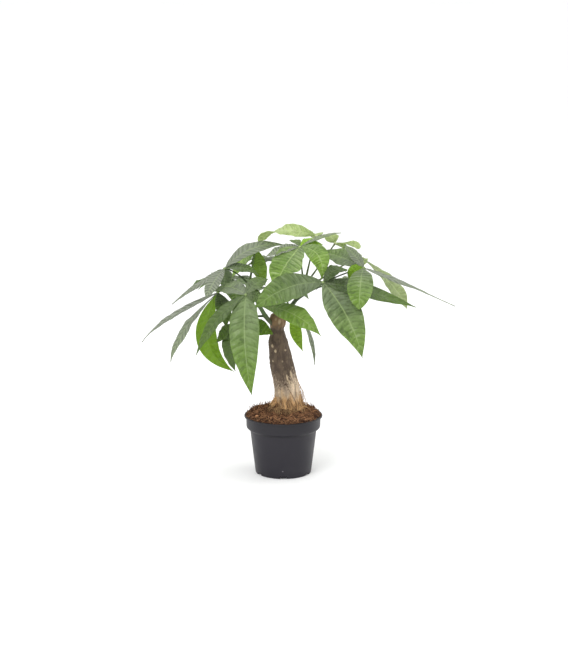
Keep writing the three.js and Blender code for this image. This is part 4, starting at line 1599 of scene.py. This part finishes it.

# A leaflet's cast paints a grey reflection or light shining through, and its dark share paints
# shade.
LEAVES = (
    Leaf("leaf_front_left", "left", 0.68, (-56, -60, 292), 6, Tone.MATURE, (
        Leaflet((-47, -100, 148), 46, arch=0.12, bow=0.02, face=262, shoulder=0.6, point=1.05,
                cast=0.28, dark=0.16),
        Leaflet((-130, -85, 206), 26, arch=0.085, knee=0.45, roll=25, cast=0.2, dark=0.55),
        Leaflet((-102, -10, 291), 34, arch=0.1, roll=26, cast=-0.35),
        Leaflet((-23, -10, 306), 24, arch=0.1, roll=-22, dark=0.25),
        Leaflet((-30, -60, 282), 30, arch=0.1, roll=-30, dark=0.35),
    )),
    Leaf("leaf_low_front", "left", 0.5, (-40, -45, 272), 2, Tone.BRIGHT, (
        Leaflet((56, -95, 237), 37, arch=0.11, roll=-26, twist=-14, shoulder=1.7, point=1.5,
                cast=0.35, dark=0.3),
        Leaflet((-52, -62, 190), 26, arch=0.1),
        Leaflet((12, -22, 282), 28, arch=0.06, roll=-20),
    )),
    Leaf("leaf_front_right", "right", 0.45, (59, -55, 310), 4, Tone.MATURE, (
        Leaflet((-41, -90, 279), 47, arch=0.1, roll=42, shoulder=0.9, point=0.95, dark=0.3),
        Leaflet((117, -105, 206), 53, arch=0.055, bow=-0.03, roll=-32, shoulder=0.85, point=1.2,
                cast=-0.1),
        Leaflet((199, -45, 270), 35, arch=0.025, knee=0.35, roll=-32, shoulder=0.95, dark=0.45),
        Leaflet((96, -26, 322), 30, arch=0.25, bow=0.13, roll=-8, dark=0.65),
    )),
    Leaf("leaf_high_left", "left", 0.88, (-89, 0, 320), 6, Tone.MATURE, (
        Leaflet((2, 40, 349), 28, arch=0.13, roll=-25, cast=-0.55),
        Leaflet((-169, -20, 269), 18, arch=0.02, roll=10, point=1.4, cast=-0.75),
        Leaflet((-115, -65, 289), 22, arch=0.06, roll=12, shoulder=1, point=0.8, cast=-0.7),
        Leaflet((-110, 36, 297), 20, arch=0.02),
        Leaflet((-37, -8, 311), 26, arch=0.12, roll=-15, dark=0.4),
        Leaflet((-90, 40, 276), 24, arch=0.12, cast=-0.3),
    )),
    Leaf("leaf_outer_left", "left", 0.78, (-99, -12, 286), 6, Tone.MATURE, (
        Leaflet((-215, -20, 210), 22, arch=0.055, knee=0.78, roll=12, shoulder=1.3, point=2.7,
                cast=-0.85),
        Leaflet((-170, -55, 188), 22, arch=0.085, knee=0.62, roll=2, shoulder=2, point=1.4,
                cast=-0.6),
        Leaflet((-77, 40, 149), 34, arch=0.1, bow=-0.2, knee=0.75, face=110, cast=1.0),
        Leaflet((-86, -42, 238), 26, arch=0.1, dark=0.4),
        Leaflet((-118, 50, 286), 22, arch=0.02),
    )),
    Leaf("leaf_top_front", "right", 0.92, (25, -15, 356), 0, Tone.BRIGHT, (
        Leaflet((57, -38, 311), 32, arch=0.32, roll=-35, cast=0.3),
        Leaflet((-13, -41, 300), 65, arch=0.05, roll=8, shoulder=0.6, point=0.9, cast=0.14),
        Leaflet((-26, 12, 337), 26, arch=0.05, roll=30, point=1, cast=-0.7),
        Leaflet((60, 15, 354), 26, arch=0.06, roll=-36, cast=0.9),
        Leaflet((88, 35, 369), 13, arch=0.05, roll=-6, cast=-0.5),
        Leaflet((12, 26, 358), 16, arch=0.1, point=0.9, dark=0.4),
    )),
    Leaf("leaf_top_young", "right", 0.99, (50, 35, 364), 2, Tone.YOUNG, (
        Leaflet((-39, 45, 354), 42, arch=0.14, knee=0.6, roll=60, twist=-105, point=0.8, cast=0.3),
        Leaflet((48, 100, 347), 26, arch=0.08),
        Leaflet((-2, 92, 358), 28, arch=0.04),
    )),
    Leaf("leaf_low_left", "left", 0.28, (-78, 0, 234), 4, Tone.MATURE, (
        Leaflet((-102, 3, 204), 24, arch=0.02, roll=40, cast=0.5, dark=0.65),
        Leaflet((-74, 10, 157), 26, arch=0.1, bow=0.04, face=240, cast=0.6, dark=0.75),
        Leaflet((-15, -25, 224), 40, arch=0.04, roll=-35, cast=0.6),
        Leaflet((-78, 72, 232), 28, arch=0.1),
    )),
    Leaf("leaf_low_right", "right", 0.2, (16, 50, 243), 2, Tone.BRIGHT, (
        Leaflet((30, 50, 179), 20, arch=0.06, bow=0.03, face=250, cast=0.9),
        Leaflet((49, 72, 152), 22, arch=0.1, roll=-10, cast=-0.7),
        Leaflet((42, 112, 206), 26, arch=0.05, dark=0.3),
        Leaflet((-12, 100, 230), 26, arch=0.1),
    )),
    Leaf("leaf_hanging_back", "left", 0.99, (-42, 50, 342), 4, Tone.BRIGHT, (
        Leaflet((-28, 44, 284), 25, arch=0.08, face=250, cast=0.7, dark=0.35),
        Leaflet((-79, 60, 295), 42, arch=0.08, roll=42, cast=0.4),
        Leaflet((-52, 128, 318), 30, arch=0.1),
        Leaflet((2, 100, 338), 26, arch=0.03, point=0.7),
        Leaflet((-78, 102, 308), 26, arch=0.06),
    )),
    Leaf("leaf_far_right", "right", 0.6, (121, -25, 326), 6, Tone.MATURE, (
        Leaflet((112, -90, 276), 40, arch=0.2, shoulder=1.2, point=0.75),
        Leaflet((261, -10, 264), 21, arch=0.008, roll=-12, point=2.8, cast=-0.6),
        Leaflet((91, -8, 358), 18, arch=0.05, roll=30, shoulder=0.9, point=1.1, cast=-0.5),
        Leaflet((50, 22, 342), 34, arch=0.05, roll=24, cast=-0.2),
        Leaflet((98, -34, 312), 22, arch=0.1, roll=60, shoulder=0.8, point=0.8, cast=0.9),
    )),
    Leaf("leaf_pale_right", "right", 0.72, (118, 32, 332), 4, Tone.YOUNG, (
        Leaflet((190, 30, 251), 33, arch=0.065, knee=0.7, roll=5, twist=-70, cast=-0.3, dark=0.22),
        Leaflet((120, 95, 300), 24, arch=0.04),
        Leaflet((92, 115, 304), 28, arch=0.06),
    )),
    Leaf("leaf_pale_folded", "right", 0.84, (80, 50, 350), 0, Tone.YOUNG, (
        Leaflet((72, 72, 360), 23, arch=0.1, bow=-0.08, roll=12),
        Leaflet((120, 72, 341), 15, arch=0.04, roll=-45, shoulder=3, point=0.7),
        Leaflet((96, 96, 332), 20, arch=0.04),
    )),
    Leaf("leaf_back_middle", "right", 0.78, BACK_MIDDLE, 6, Tone.MATURE,
         fan(BACK_MIDDLE, 110, 140, reach=88)),
    Leaf("leaf_back_left", "left", 0.58, BACK_LEFT, 6, Tone.MATURE,
         (Leaflet((-70, 22, 256), 34, arch=0.08),) + fan(BACK_LEFT, 110, 150)),
    Leaf("leaf_back_right", "right", 0.52, BACK_RIGHT, 7, Tone.MATURE,
         fan(BACK_RIGHT, 52, 150)),
    Leaf("leaf_back_low", "right", 0.34, BACK_LOW, 4, Tone.MATURE,
         fan(BACK_LOW, 108, 130, 4, fall=0.28)),
)


class LeafDress:
    """Fine blades, petiole and hub of one compound leaf, with sizes in millimetres."""

    PETIOLE_RADII = (2.0, 1.1)
    PETIOLE_ROWS = 40
    PETIOLE_SIDES = 14
    SWELLING = 0.5
    HUB_RADIUS = 2.5

    def __init__(self, leaf: Leaf, form: BladeForm = BladeForm()) -> None:
        """Keeps the leaf and the blade form.

        Args:
            leaf: The leaf.
            form: Shape of its blades.
        """
        self.leaf = leaf
        self.form = form
        self.hub = np.array(leaf.hub, float)

    def rib(self, leaflet: Leaflet, t: np.ndarray) -> tuple[np.ndarray, np.ndarray, np.ndarray]:
        """The leaflet's rib, a parabola from hub to tip raised by arch and bent by bow, with the
        blade's right and up directions along it.

        Args:
            leaflet: The leaflet.
            t: Shares along the rib.

        Returns:
            Points, right directions and up directions.
        """
        tip = np.array(leaflet.tip, float)
        chord = tip - self.hub
        reach = np.linalg.norm(chord)
        heading = unit(chord * LEVEL)
        if leaflet.face is not None:
            heading = around(1.0, math.radians(leaflet.face), 0.0)
        side = np.cross(heading, UP)
        rise = unit(np.cross(side, chord))
        control = self.hub + chord * leaflet.knee
        control = control + 2 * reach * (leaflet.arch * rise + leaflet.bow * side)
        along = (1 - t)[:, None] * (control - self.hub) + t[:, None] * (tip - control)
        along = unit(2 * along)
        across = unit(side - (along @ side)[:, None] * along)
        normal = np.cross(across, along)
        angle = np.radians(leaflet.roll + leaflet.twist * t)[:, None]
        right = across * np.cos(angle) + normal * np.sin(angle)
        up = normal * np.cos(angle) - across * np.sin(angle)
        return bezier(self.hub, control, tip, t), right, up

    def half_width(self, leaflet: Leaflet, t: np.ndarray) -> np.ndarray:
        """Half width along the leaflet: a power of the way along times a power of the way left.

        Args:
            leaflet: The leaflet.
            t: Shares along the rib.

        Returns:
            Half widths in millimetres.
        """
        a, b = leaflet.shoulder, leaflet.point
        peak = a / (a + b)
        shape = (t ** a * (1 - t) ** b) / (peak ** a * (1 - peak) ** b)
        least = self.form.stalk_half + (self.form.tip_half - self.form.stalk_half) * t
        return np.maximum(leaflet.width / 2 * shape, least)

    def lift(
        self, half: np.ndarray, out: np.ndarray, phase: np.ndarray,
        ruffle: np.ndarray, crease: np.ndarray,
    ) -> np.ndarray:
        """Height of a blade over its rib: a fold that is round at the rib, less an arch towards the
        edge, with a pleat between each two side veins, a ruffled edge and fine creases.

        Args:
            half: Half widths.
            out: Shares of the way from rib to edge.
            phase: Side veins counted along the blade.
            ruffle: Waves of the edge, as shares of the half width.
            crease: Waves of the whole blade.

        Returns:
            Heights in millimetres.
        """
        f = self.form
        room = np.clip(half / f.pleat_room, 0, 1)
        puff = np.abs(np.sin(math.pi * phase)) ** 0.8 - 0.55
        fold = half * math.sin(math.radians(f.fold)) * np.sqrt(out ** 2 + 0.004)
        pleat = f.pleat * puff * np.sin(math.pi * out ** 0.8) * room
        drop = f.edge_drop * half * out ** 2
        return fold - drop + pleat + ruffle * half * out ** 2 + crease * room

    def blade(self, leaflet: Leaflet, number: int) -> Surface:
        """Blade over t and s: the rib plus s times the half width to the side, lifted as lift()
        says, with an underside a thickness below it that is greatest at the rib.

        Args:
            leaflet: The leaflet.
            number: Its place in the leaf, which seeds its waves.

        Returns:
            The closed blade.
        """
        f = self.form
        u = np.linspace(0, 1, f.rows)
        t = 0.6 * u + 0.4 * (1 - np.cos(math.pi * u)) / 2
        s = np.linspace(-1, 1, f.columns)
        s = np.sign(s) * np.abs(s) ** 0.9
        points, right, up = self.rib(leaflet, t)
        right, up = right[:, None], up[:, None]
        half = self.half_width(leaflet, t)[:, None]
        out = np.abs(s)[None, :]
        seed = 100 + 13 * number + int(abs(leaflet.tip[0])) + int(leaflet.width)
        flat = np.stack(np.broadcast_arrays(t[:, None] * 60, s[None, :] * 3), axis=-1)
        along = t[:, None] + 0.014 * waves(flat, 16, seed + 3, 8)
        slow, quick = f.ruffle
        ruffle = slow * waves(flat, 26, seed, 8) + quick * waves(flat, 11, seed + 1, 8)
        crease = f.crease * waves(flat, 7, seed + 4, 10)
        lift = self.lift(half, out, VEINS * (along - SLANT * out ** BEND), ruffle, crease)
        wide = half * s * math.cos(math.radians(f.fold)) * (1 + 0.012 * waves(flat, 9, seed + 2, 8))
        top = points[:, None] + wide[..., None] * right + lift[..., None] * up
        rib = np.exp(-(out * half / f.rib_width) ** 2)
        thick = f.thickness + (f.rib_thickness - f.thickness) * rib
        low = top - thick[..., None] * up
        span = 0.5 + 0.5 * np.concatenate([s, s[::-1]])[None, :]
        along = np.concatenate([along, along[:, ::-1]], axis=1)
        under = np.repeat([0.0, 1.0], f.columns)[None, :]
        # Stem colour near the stalk end, and a leaflet's dark share as painted shade. The cast
        # paints a grey reflection or light shining through.
        dark = np.maximum(0.4 * ease(0.05, 0.0, t), leaflet.dark)[:, None]
        paint = np.stack(np.broadcast_arrays(0.5 + 0.5 * leaflet.cast, under, dark), axis=-1)
        rings = np.concatenate([top, low[:, ::-1]], axis=1) * MM
        return rings_surface(rings, np.stack(np.broadcast_arrays(along, span), axis=-1), paint)

    def petiole(self) -> Surface:
        """Stalk from the shoot to the hub along a raised parabola, swollen at both ends.

        Returns:
            The stalk.
        """
        t = np.linspace(0, 1, self.PETIOLE_ROWS)
        start = SHOOTS[self.leaf.shoot].at(self.leaf.start)
        middle = (start + self.hub) / 2 + UP * 2 * self.leaf.lift
        thick, thin = self.PETIOLE_RADII
        radius = thick + (thin - thick) * np.minimum(1, 2 * t)
        radius = radius + self.SWELLING * np.exp(-(t / 0.06) ** 2)
        radius = radius + self.SWELLING * np.exp(-((1 - t) / 0.05) ** 2)
        path = bezier(start, middle, self.hub, t)
        bar = tube(path * MM, radius * MM, self.PETIOLE_SIDES, (0.5, 0.0, 1.0))
        bar.uv[:, 1] = 0.25
        return bar

    def bead(self) -> Surface:
        """Hub: a slightly flattened ball where the leaflets meet.

        Returns:
            The hub.
        """
        level = (np.linspace(-1, 1, 11) * math.pi / 2 * 0.98)[:, None]
        ball = around(np.cos(level), circle(18), 0.8 * np.sin(level))
        rings = (self.hub + self.HUB_RADIUS * ball) * MM
        return rings_surface(rings, np.full((*rings.shape[:2], 2), 0.5), (0.5, 0.2, 0.0))

    def dress(self, material: bpy.types.Material) -> bpy.types.Object:
        """Makes the leaf piece.

        Args:
            material: Leaf material.

        Returns:
            The piece.
        """
        blades = [self.blade(leaflet, i) for i, leaflet in enumerate(self.leaf.leaflets)]
        whole = Surface.joined([self.petiole(), self.bead(), *blades])
        name = self.leaf.node.replace("leaf_", "foliage_")
        return settle(whole.piece(name, material, 55), self.leaf.tone.slot, self.leaf.node)


# Studio

@dataclass(frozen=True)
class Softbox:
    """Area light: its place, what it looks at, its size in metres and its power in watts."""

    name: str
    place: Vector3
    target: Vector3
    size: float
    power: float

    def build(self) -> None:
        """Makes the light, turned from its place towards its target."""
        data = bpy.data.lights.new(self.name, "AREA")
        data.energy = self.power
        data.size = self.size
        lamp = bpy.data.objects.new(self.name, data)
        lamp.location = self.place
        toward = np.array(self.target, float) - np.array(self.place, float)
        down = math.atan2(-toward[2], math.hypot(toward[0], toward[1]))
        turn = math.atan2(toward[1], toward[0])
        lamp.rotation_euler = (math.pi / 2 - down, 0, turn - math.pi / 2)
        bpy.context.scene.collection.objects.link(lamp)


@dataclass(frozen=True)
class Studio:
    """White studio: paper floor, soft lights and the camera at the photograph's viewing angle. The
    pitch is in degrees down, lens and sensor are millimetres, and the floor's rings are metres."""

    pitch: float = 12.7
    place: Vector3 = (0.001, -3.0906, 0.9295)
    lens: float = 115.2
    sensor: float = 36
    floor: tuple[float, ...] = (0.02, 0.3, 1.0, 4.0, 40.0)
    floor_sides: int = 64
    paper: tuple[Colour, Colour] = (srgb(251, 251, 251), srgb(253, 253, 253))
    world: float = 1.04
    boxes: tuple[Softbox, ...] = (
        Softbox("key", (-1.1, -2.0, 1.8), (0, 0, 0.25), 1.6, 34),
        Softbox("top", (0.3, 0.4, 2.6), (0, 0, 0.3), 1.8, 15),
        Softbox("rim", (1.8, 0.5, 1.0), (0, 0, 0.15), 1.2, 8),
    )

    def build(self) -> None:
        """Makes the floor, world, lights and camera."""
        scene = bpy.context.scene
        scene.view_settings.view_transform = "Standard"
        self.build_floor()
        self.build_world(scene)
        for box in self.boxes:
            box.build()
        data = bpy.data.cameras.new("camera")
        data.lens = self.lens
        data.sensor_width = self.sensor
        camera = bpy.data.objects.new("camera", data)
        camera.location = self.place
        camera.rotation_euler = (math.radians(90 - self.pitch), 0, 0)
        scene.collection.objects.link(camera)
        scene.camera = camera

    def build_floor(self) -> None:
        """Round floor of rings, closed by triangles from the first point of the smallest ring."""
        rings = around(np.array(self.floor)[:, None], circle(self.floor_sides), 0.0)
        surface = rings_surface(rings, caps=False)
        rim = np.arange(self.floor_sides)
        fill = np.stack([rim, np.roll(rim, -1), np.roll(rim, -1), 0 * rim], axis=-1)
        surface.quads = np.concatenate([surface.quads, fill[1:-1]])
        surface = surface.turned(surface.facing()[:, 2] < 0)
        n = Nodes("studio_floor")
        shade = n.step(n.noise(1.5, 2), 0.3, 0.7)
        tone = n.mix(shade, *self.paper)
        material = n.finished(n.node("BsdfPrincipled", Base_Color=tone, Roughness=0.7))
        surface.piece("studio_floor", material)

    def build_world(self, scene: bpy.types.Scene) -> None:
        """Even white surroundings.

        Args:
            scene: The scene.
        """
        world = bpy.data.worlds.new("studio")
        world.use_nodes = True
        back = world.node_tree.nodes["Background"]
        back.inputs[0].default_value = (1, 1, 1, 1)
        back.inputs[1].default_value = self.world
        scene.world = world


def report(pieces: Iterable[bpy.types.Object]) -> None:
    """Logs each piece with its face count."""
    for piece in pieces:
        LOG.info("%s: %d faces", piece.name, len(piece.data.polygons))


def main() -> None:
    logging.basicConfig(level=logging.INFO, format="%(name)s %(message)s")
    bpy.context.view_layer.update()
    Studio().build()
    report([Pot().dress()])
    report(Soil().dress())
    report(Trunk().dress())
    stem = StemFinish().build()
    for side in SHOOTS:
        joints = [leaf.start for leaf in LEAVES if leaf.shoot == side]
        report([Shoot(side, joints).dress(stem)])
    finishes = {tone: tone.value.build() for tone in Tone}
    report(LeafDress(leaf).dress(finishes[leaf.tone]) for leaf in LEAVES)
    bpy.context.view_layer.update()


if __name__ == "__main__":
    main()
